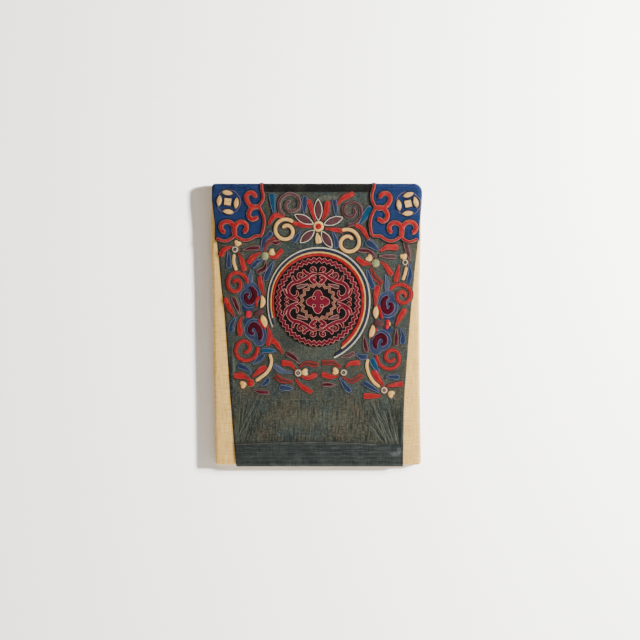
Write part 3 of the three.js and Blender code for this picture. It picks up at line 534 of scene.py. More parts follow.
class StageSettings(bpy.types.PropertyGroup):
    """The floor, the backdrop and the light."""

    floor: dye("Floor", "Plain pale floor", "e6e4e1")
    backdrop: dye("Backdrop", "Plain pale backdrop", "e6e4e1")
    key_power: wattage("Key power", "Power of the main light", 188)
    backdrop_power: wattage("Backdrop power", "Power of the light on the backdrop alone", 1560)
    fill_power: wattage("Fill power", "Power of the fill light", 25)
    lens: FloatProperty(
        name="Lens", description="Focal length of the camera", unit="CAMERA", min=20, default=85
    )


def sizes():
    return bpy.context.scene.panel_sizes


def colours():
    return bpy.context.scene.panel_colours


def colour_of(tone):
    return tuple(getattr(colours(), tone))


def maths(operation, swapped=False):
    """A method that adds one Math node."""

    def act(self, *others):
        values = (*others, self) if swapped else (self, *others)
        return self.surface.math(operation, *values)

    return act


class Field:
    """A socket of a material that adds Math nodes when it is used in an expression."""

    def __init__(self, surface, socket):
        self.surface = surface
        self.socket = socket

    __add__ = maths("ADD")
    __radd__ = maths("ADD")
    __sub__ = maths("SUBTRACT")
    __rsub__ = maths("SUBTRACT", swapped=True)
    __mul__ = maths("MULTIPLY")
    __rmul__ = maths("MULTIPLY")
    __truediv__ = maths("DIVIDE")
    __rtruediv__ = maths("DIVIDE", swapped=True)
    __abs__ = maths("ABSOLUTE")
    sine = maths("SINE")

    def ramp(self, low, high):
        """0 below low, 1 above high, smooth between."""
        node = self.surface.node(
            "ShaderNodeMapRange", {"interpolation_type": "SMOOTHSTEP"},
            {"Value": self, "From Min": low, "From Max": high},
        )
        return Field(self.surface, node.outputs["Result"])


class NodeTree:
    """A tree of nodes that is being built. One method adds any node."""

    def node(self, kind, settings=None, inputs=None):
        made = self.tree.nodes.new(kind)
        for key, value in (settings or {}).items():
            setattr(made, key, value)
        for key, value in (inputs or {}).items():
            self.feed(made.inputs[key], value)
        return made

    def feed(self, socket, value):
        """Links a socket or a field, or sets a plain value."""
        value = getattr(value, "socket", value)
        if isinstance(value, bpy.types.NodeSocket):
            self.tree.links.new(value, socket)
        else:
            socket.default_value = value


# Specular level of every cloth
CLOTH_GLOSS = 0.08


class Surface(NodeTree):
    """A material that is being built."""

    def __init__(self, name, **constants):
        self.material = bpy.data.materials.new(name)
        self.material.use_nodes = True
        self.tree = self.material.node_tree
        self.shader = self.tree.nodes["Principled BSDF"]
        self.shader.inputs["Specular IOR Level"].default_value = CLOTH_GLOSS
        for socket, value in constants.items():
            self.shader.inputs[socket.replace("_", " ").title()].default_value = value

    def math(self, operation, *values):
        made = self.node("ShaderNodeMath", {"operation": operation}, dict(enumerate(values)))
        return Field(self, made.outputs[0])

    def layers(self, base, rows):
        """Colours mixed over the first one, each by its own share."""
        for share, colour in rows:
            settings = {"data_type": "RGBA", "blend_type": "MIX"}
            made = self.node("ShaderNodeMix", settings, {0: share, 6: base, 7: colour})
            base = Field(self, made.outputs[2])
        return base

    def place(self, attribute=""):
        """Object coordinates, or the named attribute that follows the cloth."""
        if attribute:
            made = self.node("ShaderNodeAttribute", {"attribute_name": attribute})
            return Field(self, made.outputs["Vector"])
        return Field(self, self.node("ShaderNodeTexCoord").outputs["Object"])

    def noise(self, place, size, shift=0.0, detail=2.0):
        """Soft spots. Their size in metres is one number, or one along each axis of the place."""
        size = (*size, 1)[:3] if isinstance(size, tuple) else (size,) * 3
        spots = {"Vector": place, "Scale": [1 / s for s in size], "Location": (shift,) * 3}
        near = Field(self, self.node("ShaderNodeMapping", {}, spots).outputs[0])
        made = self.node("ShaderNodeTexNoise", {}, {"Vector": near, "Scale": 1.0, "Detail": detail})
        return Field(self, made.outputs["Fac"])

    def spots(self, x, z, table):
        """How much of a point is in soft oval spots, whose sizes are in millimetres."""
        total = 0.0
        for spot in table:
            (at_x, at_z), (wide, high) = spot["at"], spot["half"]
            dx = (x - at_x * MM) / (wide * MM)
            dz = (z - at_z * MM) / (high * MM)
            total = (1 - (dx * dx + dz * dz).ramp(0.1, 1.0)) * spot["share"] + total
        return total

    def parts(self, place):
        made = self.node("ShaderNodeSeparateXYZ", {}, {0: place})
        return [Field(self, socket) for socket in made.outputs]

    def finish(self, base, roughness, height, distance):
        """Connects colour and roughness, and a height in shares of a distance in metres."""
        bump = self.node("ShaderNodeBump", {}, {"Height": height, "Distance": distance})
        self.feed(self.shader.inputs["Base Color"], base)
        self.feed(self.shader.inputs["Roughness"], roughness)
        self.feed(self.shader.inputs["Normal"], bump.outputs[0])
        return self.material


FINISHES = {}


def finish_once(make):
    """Keeps each finish once, however many pieces use it."""

    def find(name, *details, **options):
        if name not in FINISHES:
            FINISHES[name] = make(name, *details, **options)
        return FINISHES[name]

    return find


def weave(x, z, pitch):
    """Height of a plain weave: threads that pass over and under each other."""
    turn = math.tau / pitch
    return (x * turn).sine() * (z * turn).sine() * 0.5 + 0.5


def shade(colour, share):
    return (*[c * share for c in colour[:3]], 1.0)


# Roughness of silk and of cord, and in metres the width of one stitch and one turn of the plies
SILK_ROUGHNESS = 0.55
SILK_STITCH = 0.0011
CORD_ROUGHNESS = 0.6
CORD_TWIST = 0.0026


@finish_once
def linen_finish(name):
    """Natural linen: plain weave with thicker and darker threads both ways."""
    surface = Surface(name, sheen_weight=0.03, sheen_roughness=0.6)
    cloth = surface.place("cloth")
    x, z, _ = surface.parts(cloth)
    slubs = surface.noise(cloth, (0.0018, 0.04), 3) * 0.5
    slubs = slubs + surface.noise(cloth, (0.04, 0.0018), 7) * 0.5
    cloud = surface.noise(cloth, (0.12, 0.12), 1)
    base = surface.layers(colours().linen, (
        (slubs.ramp(0.42, 0.6), colours().linen_slub),
        (cloud.ramp(0.45, 0.8) * 0.25, shade(colours().linen, 0.8)),
    ))
    height = weave(x, z, sizes().linen_pitch) * 0.6 + slubs
    return surface.finish(base, cloud * 0.1 + 0.85, height, 0.0004)


@finish_once
def ground_finish(name):
    """Worn cotton: faded, rubbed in patches and finely crinkled, streaked down its length with painted
    light on the crinkles' ridges and painted shade in their hollows, with painted light and shade on the
    flanks of its creases and painted shade in a few spots.
    """
    surface = Surface(name, sheen_weight=0.03, sheen_roughness=0.5)
    cloth = surface.place("cloth")
    x, z, painted_fold_lighting = surface.parts(cloth)
    streaks_and_painted_shading = surface.noise(cloth, (0.0035, 0.03), 2, 4.0)
    threads = surface.noise(cloth, (0.02, 0.0035), 12, 4.0)
    fade = surface.noise(cloth, (0.07, 0.1), 5, 4.0)
    rubbed = surface.noise(cloth, (0.006, 0.008), 9, 5.0)
    hue = surface.noise(cloth, (0.045, 0.06), 31)
    flecks = surface.noise(cloth, (0.0045, 0.0035), 21, 3.0)
    crinkle = surface.noise(cloth, (0.0035, 0.03), 4, 3.0)
    low = (z * -1).ramp(0.13, 0.24)
    lined = low * 0.55 + 0.3
    worn = colours().ground_worn
    # The ground's colour darkened: for its darker threads, and as painted shade in streaks, spots and
    # creases
    dark = shade(colours().ground, 0.35)
    base = surface.layers(colours().ground, (
        (fade.ramp(0.35, 0.65) * 0.6, worn),
        (low * 0.5, tint("3a382c")),
        (hue.ramp(0.5, 0.68) * 0.6, tint("26363a")),
        ((1 - hue).ramp(0.5, 0.68) * 0.5, tint("443c2d")),
        (flecks.ramp(0.5, 0.7) * 0.7, tint("4b524b")),
        ((1 - flecks).ramp(0.5, 0.7) * 0.6, tint("171d1f")),
        # Streaks that follow the crinkles: painted light on their ridges and painted shade in their
        # hollows, stronger low down
        (streaks_and_painted_shading.ramp(0.52, 0.7) * lined * 0.8, shade(worn, 1.4)),
        ((1 - streaks_and_painted_shading).ramp(0.5, 0.66) * lined, dark),
        ((1 - threads).ramp(0.5, 0.7) * 0.5, dark),
        # Painted light on one flank of each crease and painted shade on the other
        (painted_fold_lighting.ramp(0.1, 0.9) * 0.8, shade(worn, 1.7)),
        ((painted_fold_lighting * -1).ramp(0.1, 0.9) * 0.85, shade(dark, 0.6)),
        (rubbed.ramp(0.56, 0.76) * 0.6, shade(worn, 1.9)),
        (surface.spots(x, z, WORN_SPOTS) * rubbed.ramp(0.3, 0.6), shade(worn, 1.7)),
        # Painted shade above the seam and along the edges low down, and a painted shadow beside the
        # medallion
        (surface.spots(x, z, PAINTED_SHADE_SPOTS), dark),
    ))
    height = (crinkle + streaks_and_painted_shading) * (low * 0.8 + 0.4) + threads * 0.3
    height = height + weave(x, z, sizes().weave_pitch) * 0.1
    return surface.finish(base, fade * 0.15 + 0.78, height, 0.002)


@finish_once
def cotton_finish(name, colour, worn, lines=0.0):
    """Plain cotton of one colour, a little rubbed. Lines gives the pitch of woven stripes; where it is
    given, the crinkles also get painted shade in their hollows.
    """
    surface = Surface(name, sheen_weight=0.03, sheen_roughness=0.5)
    cloth = surface.place("cloth")
    x, z, _ = surface.parts(cloth)
    cloud = surface.noise(cloth, (0.03, 0.03), 2, 4.0)
    rubbed = surface.noise(cloth, (0.003, 0.004), 6, 3.0)
    base = surface.layers(colour, (
        (cloud.ramp(0.35, 0.75) * 0.6, worn),
        (rubbed.ramp(0.6, 0.8) * 0.4, shade(worn, 1.4)),
    ))
    height = weave(x, z, sizes().weave_pitch) * 0.4 + cloud
    if lines:
        ridge = (z * (math.tau / lines)).sine().ramp(0.9, 1.0)
        streaks_and_painted_shading = surface.noise(cloth, (0.0035, 0.03), 2, 4.0)
        threads = surface.noise(cloth, (0.03, 0.003), 4, 3.0)
        soft = surface.noise(cloth, (0.004, 0.004), 14, 1.0).ramp(0.2, 0.7)
        base = surface.layers(base, (
            # Painted shade in the hollows of the crinkles
            ((1 - streaks_and_painted_shading).ramp(0.5, 0.66) * 0.7, shade(colour, 0.4)),
            (threads.ramp(0.5, 0.7) * 0.6, shade(worn, 1.4)),
            (ridge * 0.6, shade(worn, 1.8)),
            (surface.spots(x, z, BAND_SPOTS) * soft, tint("5d6264")),
        ))
        height = height + ridge * 0.6 + streaks_and_painted_shading
    return surface.finish(base, cloud * 0.15 + 0.75, height, 0.0006)


@finish_once
def silk_finish(name, colour, worn):
    """Silk sewn across the strip in close stitches, paler where it is rubbed, with painted shade along its
    edges.
    """
    surface = Surface(name, sheen_weight=0.03, sheen_roughness=0.35)
    cloth = surface.place("cloth")
    along, across, edge_gap = surface.parts(cloth)
    spot = surface.place()
    cloud = surface.noise(spot, 0.012, 2, 3.0)
    rubbed = surface.noise(spot, 0.0025, 8, 3.0)
    threads = surface.noise(cloth, (SILK_STITCH * 0.7, 0.008), 5, 1.0)
    wave = ((along + rubbed * SILK_STITCH * 0.5) * (math.tau / SILK_STITCH)).sine()
    base = surface.layers(colour, (
        (cloud.ramp(0.35, 0.75), worn),
        (threads.ramp(0.3, 0.5) * -0.35 + 0.35, shade(colour, 0.6)),
        (rubbed.ramp(0.6, 0.78) * 0.5, shade(worn, 1.35)),
        # Painted shade along the strip's edges, where it turns down to what it lies on
        ((1 - edge_gap.ramp(0.0, 0.0016)) * 0.45, shade(colour, 0.35)),
        ((1 - abs(across).ramp(0.0003, 0.0024)) * rubbed * 0.9, shade(colour, 0.45)),
    ))
    height = wave * 0.3 + threads * 0.5 + cloud * 0.6
    return surface.finish(base, threads * 0.2 + SILK_ROUGHNESS - 0.1, height, 0.0005)


@finish_once
def velvet_finish(name, colour):
    """Dark velvet with a soft pile."""
    surface = Surface(name, sheen_weight=0.12, sheen_roughness=0.3, sheen_tint=tint("902038"))
    spot = surface.place()
    pile = surface.noise(spot, 0.0007, 1)
    cloud = surface.noise(spot, 0.008, 4)
    base = surface.layers(colour, ((cloud.ramp(0.4, 0.7), shade(colour, 1.9)),))
    return surface.finish(base, 0.95 - cloud * 0.1, pile, 0.0004)


@finish_once
def cord_finish(name, colour, worn):
    """Twisted silk cord: the plies turn round it as they run along it, with painted shade in the grooves
    between them.
    """
    surface = Surface(name, sheen_weight=0.05, sheen_roughness=0.4)
    along = surface.parts(surface.place("along"))[0]
    around = surface.parts(surface.place("around"))[0]
    cloud = surface.noise(surface.place(), 0.006, 3, 3.0)
    twist = ((along / CORD_TWIST + around * 2) * math.tau).sine()
    base = surface.layers(colour, (
        (cloud.ramp(0.35, 0.7), worn),
        # Painted shade in the grooves between the plies
        (twist.ramp(-1.0, 0.1) * -0.5 + 0.5, shade(colour, 0.45)),
    ))
    rough = cloud * 0.2 + CORD_ROUGHNESS - 0.1
    return surface.finish(base, rough, twist * 0.5 + cloud * 0.5, 0.0004)


@finish_once
def plain_finish(name, colour, roughness, metallic=0.0):
    """Card and metal on the back: slightly mottled."""
    surface = Surface(name, metallic=metallic)
    spot = surface.place()
    fibres = surface.noise(spot, (0.002, 0.002, 0.006), 2, 4.0)
    cloud = surface.noise(spot, 0.08, 5, 3.0)
    base = surface.layers(colour, (
        (fibres.ramp(0.4, 0.7) * 0.5, shade(colour, 0.8)),
        (cloud.ramp(0.4, 0.8) * 0.4, shade(colour, 1.15)),
    ))
    return surface.finish(base, fibres * 0.1 + roughness, fibres, 0.0002)


WORN_SILK = {"red": tint("9c2a24"), "cream": tint("d4b070"), "maroon": tint("502e32")}

MEDALLION_TONES = (tint("070606"), tint("0e0b0b"))


def cloth_finish(tone):
    """The finish of a padded or sewn-on piece of one tone."""
    colour = colour_of(tone)
    if tone == "velvet":
        return velvet_finish("velvet", colour)
    return silk_finish(f"{tone}_silk", colour, WORN_SILK.get(tone, shade(colour, 1.35)))


def board_side(sx, z):
    """Where the board's left or right side is at a height."""
    return np.interp(z, SIDE_HEIGHTS, SIDES["left" if sx < 0 else "right"])


def wrap(x, z, lift):
    """Where points of the flat cut lie once the cloth is folded over the board's edges."""
    x, z, lift = np.broadcast_arrays(np.asarray(x, float), np.asarray(z, float), lift)
    top = np.where(x < 0, CORNERS["top_left"], CORNERS["top_right"])
    corner = np.where(z < 0, CORNERS["bottom"], top)
    core_x = np.clip(x, board_side(-1, z) + corner, board_side(1, z) - corner)
    core_z = np.clip(z, corner - HALF_HEIGHT, HALF_HEIGHT - corner)
    reach = np.hypot(x - core_x, z - core_z)
    flat = corner - FRONT_ROUND
    bend = np.clip((reach - flat) / FRONT_ROUND, 0, math.pi / 2)
    run = np.maximum(reach - flat - bend * FRONT_ROUND, 0)
    around = FRONT_ROUND + lift + FOLD_SLACK * np.sin(bend)
    folded = reach > flat
    out = np.where(folded, (flat + around * np.sin(bend)) / np.maximum(reach, 1e-6), 1)
    y = np.where(folded, FRONT_ROUND - DEPTH - around * np.cos(bend) + run, -DEPTH - lift)
    return np.stack([core_x + (x - core_x) * out, y, core_z + (z - core_z) * out], axis=-1)


def full_turn(count):
    """Even angles all the way round."""
    return np.linspace(0, math.tau, count + 1)[:-1]


def run_along(line):
    gaps = np.hypot(*np.diff(line, axis=0).T)
    return np.concatenate([[0], np.cumsum(gaps)])


def spaced(line, step):
    """The same line with its points at even steps."""
    run = run_along(line)
    at = np.linspace(0, run[-1], max(2, round(run[-1] / step)) + 1)
    return np.column_stack([np.interp(at, run, line[:, k]) for k in (0, 1)])


def smooth_line(points):
    """A smooth line through a few points."""
    p = np.asarray(points, float)
    p = np.vstack([2 * p[0] - p[1], p, 2 * p[-1] - p[-2]])
    t = np.linspace(0, 1, 17)[:-1, None]
    parts = []
    for a, b, c, d in zip(p, p[1:], p[2:], p[3:]):
        bent = (2 * a - 5 * b + 4 * c - d) * t**2 + (3 * b - a - 3 * c + d) * t**3
        parts.append(0.5 * (2 * b + (c - a) * t + bent))
    return np.vstack([*parts, p[-2:-1]])


def spiral_line(spiral):
    """A curl whose radius changes smoothly as it turns."""
    radii = np.asarray(spiral["radii"], float)
    smooth = smooth_line(np.column_stack([np.linspace(0, 1, len(radii)), radii]))
    share = np.linspace(0, 1, int(abs(spiral["sweep"]) / 5) + 1)
    radius = np.interp(share, smooth[:, 0], smooth[:, 1])
    return ring_points(radius, np.radians(spiral["start"] + spiral["sweep"] * share)) + spiral["at"]


def scallop_line(joints):
    """A line that bulges to one side between each two joints."""
    share = np.linspace(0, 1, 25)[:-1]
    points = []
    for (x0, z0, bulge), (x1, z1, _) in zip(joints, joints[1:]):
        dx, dz = x1 - x0, z1 - z0
        push = bulge * np.sin(math.pi * share) / math.hypot(dx, dz)
        points.append(np.column_stack([x0 + dx * share - dz * push, z0 + dz * share + dx * push]))
    return np.vstack([*points, [joints[-1][:2]]])


def turned(x, z, degrees):
    angle = math.radians(degrees)
    return (x * math.cos(angle) - z * math.sin(angle), x * math.sin(angle) + z * math.cos(angle))


def ripple(x, z, size, seed, count=7):
    """Gentle unevenness between -1 and 1, made of a few seeded waves."""
    pick = np.random.default_rng(seed)
    total = np.zeros(np.broadcast(x, z).shape)
    for _ in range(count):
        angle, phase = pick.uniform(0, math.tau, 2)
        length = size * pick.uniform(0.6, 1.7)
        total += np.sin(math.tau * (x * math.cos(angle) + z * math.sin(angle)) / length + phase)
    return total / count


def linked(name, data):
    made = bpy.data.objects.new(name, data)
    bpy.context.scene.collection.objects.link(made)
    return made


# Angles round a padded disc, and from its rim up to its top
DOME_SIDES = 32
DOME_TURN = full_turn(DOME_SIDES)
DOME_LEVELS = np.radians([[0], [18], [38], [60], [80]])


class Sewing:
    """Collects the points and faces of one piece, in millimetres, with its place on the cloth."""

    def __init__(self):
        self.points = []
        self.marks = []
        self.faces = []
        self.slots = []
        self.count = 0

    def add(self, points, marks, faces, slot=0):
        self.points.append(np.reshape(points, (-1, 3)))
        self.marks.append(np.reshape(marks, (-1, 3)))
        self.faces += [[int(k) + self.count for k in face] for face in faces]
        self.slots += [slot] * len(faces)
        self.count += len(self.points[-1])

    def tube(self, points, marks, slot=0):
        """Rings of points, joined one to the next, each ring closed and both ends capped."""
        rings, around = points.shape[:2]
        faces = []
        for i in range(rings - 1):
            for k in range(around):
                a, b = i * around + k, i * around + (k + 1) % around
                faces.append((a, b, b + around, a + around))
        faces.append(range(around))
        faces.append(range((rings - 1) * around, rings * around))
        self.add(points, marks, faces, slot)

    def slab(self, lower, upper, marks):
        """Two grids of points, one above the other, closed round their rim."""
        rows, columns = upper.shape[:2]
        face = rows * columns
        faces = []
        for j in range(rows - 1):
            for i in range(columns - 1):
                a = j * columns + i
                quad = (a, a + 1, a + columns + 1, a + columns)
                faces.append(quad)
                faces.append([face + k for k in reversed(quad)])
        rim = [*range(columns - 1), *range(columns - 1, face - 1, columns)]
        rim += [*range(face - 1, face - columns, -1), *range(face - columns, 0, -columns)]
        for a, b in zip(rim, [*rim[1:], rim[0]]):
            faces.append((b, a, face + a, face + b))
        self.add(np.stack([lower, upper]), np.stack([marks, marks]), faces)

    def dome(self, middle, reach, layer, slot=0, high=None, turn=0):
        """A padded disc, flat below and round above, or an oval where high is its half height."""
        inner, outer = layer
        high = reach if high is None else high
        out = np.cos(DOME_LEVELS)
        dx, dz = turned(reach * out * np.cos(DOME_TURN), high * out * np.sin(DOME_TURN), turn)
        lift = inner + (outer - inner) * np.sin(DOME_LEVELS)
        radius = min(np.min(reach), np.min(high))
        marks = np.broadcast_arrays(DOME_TURN * radius, radius * out, radius * (1 - out))
        points = wrap(middle[0] + dx, middle[1] + dz, lift)
        self.tube(points, np.stack(marks, axis=-1) * MM, slot)

    def piece(self, name, surfaces, slot, nodes=()):
        """Makes the piece, facing outwards, that rides on the board and stands for its nodes."""
        mesh = bpy.data.meshes.new(name)
        mesh.from_pydata((np.vstack(self.points) * MM).tolist(), [], self.faces)
        cloth = mesh.attributes.new("cloth", "FLOAT_VECTOR", "POINT")
        cloth.data.foreach_set("vector", np.vstack(self.marks).ravel())
        for surface in surfaces:
            mesh.materials.append(surface)
        mesh.polygons.foreach_set("material_index", self.slots)
        bent = bmesh.new()
        bent.from_mesh(mesh)
        bmesh.ops.recalc_face_normals(bent, faces=bent.faces)
        bent.to_mesh(mesh)
        bent.free()
        mesh.shade_smooth()
        made = linked(name, mesh)
        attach(made, BODY)
        if nodes:
            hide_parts(*nodes)
        return made


# How far apart a strip's points are, how many faces its dome has across, and how flat its top is
STATION = 2.0
PROFILE = 8
FLATNESS = 0.28

# How much of a strip's width is left to the two cords that are couched along it, and the least
# half width that its ends keep
COUCHED = 1.6
LEAST_HALF = 0.35


def rise(share, full):
    """0 at the root, and 1 from the share at which a shape has its full width."""
    return np.sin(math.pi / 2 * np.clip(share / full, 0, 1))


def past(share, start, length):
    """How far a share is into the part that starts there."""
    return np.clip((share - start) / length, 0, 1)


def end_shape(ends, share, near_end):
    """How wide a strip is along its length. Near_end is 0 at its two ends and 1 from a tip's length."""
    if ends == "round":
        return np.sqrt(1 - (1 - near_end) ** 2)
    if ends == "pointed":
        return np.sin(math.pi * share) ** 0.8
    if ends == "leaf":
        return (0.3 + 0.7 * rise(share, 0.6) ** 2) * np.sqrt(1 - 0.7 * past(share, 0.9, 0.1) ** 2)
    if ends == "flame":
        shape = (0.5 + 0.5 * rise(share, 0.3)) * (1 - 0.35 * past(share, 0.6, 0.3))
        return shape * np.sqrt(1 - past(share, 0.93, 0.07) ** 2)
    return np.ones_like(share)


class Strip:
    """A cut and padded strip: its middle line on the flat cut, its width and its layer."""

    def __init__(self, line, width, layer, ends="round", bed=None):
        self.layer = layer
        self.bed = bed
        run = run_along(line)
        length = run[-1]
        tip = min(width / 2, length / 4)
        near = tip * np.array([0, 0.06, 0.2, 0.45, 0.75])
        count = max(2, round((length - 2 * tip) / STATION))
        inside = np.linspace(tip, length - tip, count + 1)
        at = np.concatenate([near, inside, (length - near)[::-1]])
        self.run = at
        self.line = np.column_stack([np.interp(at, run, line[:, k]) for k in (0, 1)])
        near_end = np.minimum(np.minimum(at, length - at) / tip, 1)
        shape = end_shape(ends, np.clip(at / length, 0.001, 0.999), near_end)
        self.half = np.maximum(shape * width / 2, LEAST_HALF)
        self.full = np.minimum(1, np.minimum(self.half / (width / 2), 1) * 1.6)
        apart = at + np.arange(len(at)) * 1e-6
        way = np.gradient(self.line, apart, axis=0)
        way /= np.maximum(np.hypot(*way.T), 1e-9)[:, None]
        self.normal = np.column_stack([-way[:, 1], way[:, 0]])

    def sew(self, sewing, slot=0):
        """Adds the strip, domed over its width and flat below."""
        inner, outer = self.layer
        turn = np.linspace(0, math.pi, PROFILE + 1)
        across = -np.cos(turn) * self.half[:, None]
        up = np.sin(turn) ** FLATNESS * self.full[:, None]
        x = self.line[:, :1] + self.normal[:, :1] * across
        z = self.line[:, 1:] + self.normal[:, 1:] * across
        uneven = 1 + 0.12 * ripple(x, z, 14, 3)
        points = wrap(x, z, self.on_bed(x, z) + inner + (outer - inner) * up * uneven)
        along = np.broadcast_to(self.run[:, None], across.shape)
        edge_gap = self.half[:, None] - np.abs(across)
        sewing.tube(points, np.stack([along, across, edge_gap], axis=-1) * MM, slot)

    def on_bed(self, x, z):
        return self.bed(x, z) if self.bed else 0

    def outline(self, out, lift):
        """The closed line of a cord that is couched round the strip."""
        offset = self.normal * (self.half + out)[:, None]
        x, z = np.vstack([self.line + offset, (self.line - offset)[::-1]]).T
        return wrap(x, z, self.on_bed(x, z) + self.layer[0] + lift), True


class Recipe(NodeTree):
    """A Geometry Nodes tree that is being built, with named inputs."""

    def __init__(self, name, inputs):
        self.tree = bpy.data.node_groups.new(name, "GeometryNodeTree")
        face = self.tree.interface
        for label, kind in {"Geometry": "Geometry", **inputs, "Material": "Material"}.items():
            face.new_socket(name=label, in_out="INPUT", socket_type=f"NodeSocket{kind}")
        face.new_socket(name="Geometry", in_out="OUTPUT", socket_type="NodeSocketGeometry")
        self.given = self.node("NodeGroupInput").outputs

    def add(self, kind, settings=None, inputs=None):
        """Adds a node, and gives its outputs, or its output where it has only one."""
        outputs = self.node(kind, settings, inputs).outputs
        return outputs[0] if len(outputs) == 1 else outputs

    def end(self, geometry):
        """Ends the tree as real mesh with its material."""
        smooth = self.add("GeometryNodeSetShadeSmooth", {}, {"Geometry": geometry})
        real = self.add("GeometryNodeRealizeInstances", {}, {"Geometry": smooth})
        dressed = {"Geometry": real, "Material": self.given["Material"]}
        done = self.add("GeometryNodeSetMaterial", {}, dressed)
        self.node("NodeGroupOutput", {}, {0: done})
        return self.tree


def cord_recipe():
    """Round cords that follow lines, with their length and their turn kept for the twist."""
    recipe = Recipe("couched_cord", {"Radius": "Float", "Sides": "Int"})
    given, add = recipe.given, recipe.add

    def keep(curve, name, part):
        at = add("GeometryNodeSplineParameter")[part]
        settings = {"data_type": "FLOAT", "domain": "POINT"}
        inputs = {"Geometry": curve, "Name": name, "Value": at}
        return add("GeometryNodeStoreNamedAttribute", settings, inputs)

    line = keep(add("GeometryNodeMeshToCurve", {}, {"Mesh": given["Geometry"]}), "along", "Length")
    size = {"Resolution": given["Sides"], "Radius": given["Radius"]}
    circle = keep(add("GeometryNodeCurvePrimitiveCircle", {}, size)[0], "around", "Factor")
    tube = {"Curve": line, "Profile Curve": circle, "Fill Caps": True}
    return recipe.end(add("GeometryNodeCurveToMesh", {}, tube))


def stitch_recipe():
    """Separate stitches in a row along lines, each a little different."""
    sizes_of = {"Spacing": "Float", "Length": "Float", "Radius": "Float", "Seed": "Int"}
    recipe = Recipe("stitch_row", sizes_of)
    given, add = recipe.given, recipe.add
    line = add("GeometryNodeMeshToCurve", {}, {"Mesh": given["Geometry"]})
    spacing = {"Curve": line, "Length": given["Spacing"]}
    row = add("GeometryNodeResampleCurve", {"mode": "LENGTH"}, spacing)
    grain = add("GeometryNodeMeshUVSphere", {}, {"Segments": 6, "Rings": 5, "Radius": 0.5})[0]
    way = add("GeometryNodeInputTangent")
    turn = add("FunctionNodeAlignRotationToVector", {"axis": "X"}, {"Vector": way})
    chances = {"Min": 0.7, "Max": 1.15, "Seed": given["Seed"]}
    chance = add("FunctionNodeRandomValue", {"data_type": "FLOAT"}, chances)["Value"]
    long = add("ShaderNodeMath", {"operation": "MULTIPLY"}, {0: given["Length"], 1: chance})
    wide = add("ShaderNodeMath", {"operation": "MULTIPLY"}, {0: given["Radius"], 1: 2.0})
    shape = add("ShaderNodeCombineXYZ", {}, {"X": long, "Y": wide, "Z": wide})
    placed = {"Points": row, "Instance": grain, "Rotation": turn, "Scale": shape}
    return recipe.end(add("GeometryNodeInstanceOnPoints", {}, placed))


def grown(name, recipe, lines, **values):
    """Makes a piece from lines in millimetres, (points, closed), with a Geometry Nodes tree."""
    edges = []
    count = 0
    for line, closed in lines:
        edges += [(count + k, count + k + 1) for k in range(len(line) - 1)]
        if closed:
            edges.append((count + len(line) - 1, count))
        count += len(line)
    mesh = bpy.data.meshes.new(name)
    mesh.from_pydata((np.vstack([line for line, _ in lines]) * MM).tolist(), edges, [])
    made = linked(name, mesh)
    modifier = made.modifiers.new("recipe", "NODES")
    modifier.node_group = recipe
    for item in recipe.interface.items_tree:
        if item.in_out == "INPUT" and item.name in values:
            modifier[item.identifier] = values[item.name]
    depsgraph = bpy.context.evaluated_depsgraph_get()
    result = bpy.data.meshes.new_from_object(
        made.evaluated_get(depsgraph), preserve_all_data_layers=True, depsgraph=depsgraph
    )
    made.modifiers.clear()
    made.data = result
    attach(made, BODY)
    return made


def tree_named(name, make):
    return bpy.data.node_groups.get(name) or make()


def cords(name, lines, tone, radius, slot, sides=6):
    """Twisted cords of one tone along lines."""
    colour = colour_of(tone)
    made = grown(
        name, tree_named("couched_cord", cord_recipe), lines, Radius=radius, Sides=sides,
        Material=cord_finish(f"{tone}_cord", colour, shade(colour, 1.3)),
    )


def stitches(name, lines, tone, seed, share=1.0):
    """Rows of stitches of one tone along lines, at a share of the panel's spacing and length."""
    colour = colour_of(tone)
    made = grown(
        name, tree_named("stitch_row", stitch_recipe), lines,
        Spacing=sizes().stitch_spacing * share, Length=sizes().stitch_length * share,
        Radius=sizes().stitch_radius, Seed=seed,
        Material=silk_finish(f"{tone}_thread", colour, shade(colour, 1.2)),
    )


def circle_line(x, z, radius, lift, count=60):
    return wrap(*(ring_points(radius, full_turn(count)) + (x, z)).T, lift), True


def strip_piece(name, strips, tone, nodes=()):
    """One padded piece of one tone, made of strips, that stands for its nodes."""
    sewing = Sewing()
    for strip in strips:
        strip.sew(sewing)
    sewing.piece(name, [cloth_finish(tone)], SLOTS[tone], nodes)


def tone_of(name):
    return name.split("_")[0]


def spiral_strip(name):
    spiral = SPIRALS[name]
    return Strip(spiral_line(spiral), spiral["width"] - COUCHED / 2, ON_GROUND)


def smooth_strips(spines, width, layer=ON_GROUND, ends="round"):
    """One strip of a width along each named spine."""
    return {name: Strip(smooth_line(spine), width, layer, ends) for name, spine in spines.items()}


def petal_strips():
    strips = []
    for angle, reach in PETALS.values():
        ends = [turned(out, 0, angle) for out in (PETAL_START, (PETAL_START + reach) / 2, reach)]
        line = smooth_line([(FLOWER[0] + dx, FLOWER[1] + dz) for dx, dz in ends])
        strips.append(Strip(line, PETAL_WIDTH - COUCHED, ON_GROUND, "pointed"))
    return strips


def crescent_strips():
    return [Strip(smooth_line(spine), width, ON_GROUND, "pointed") for width, spine in CRESCENTS.values()]


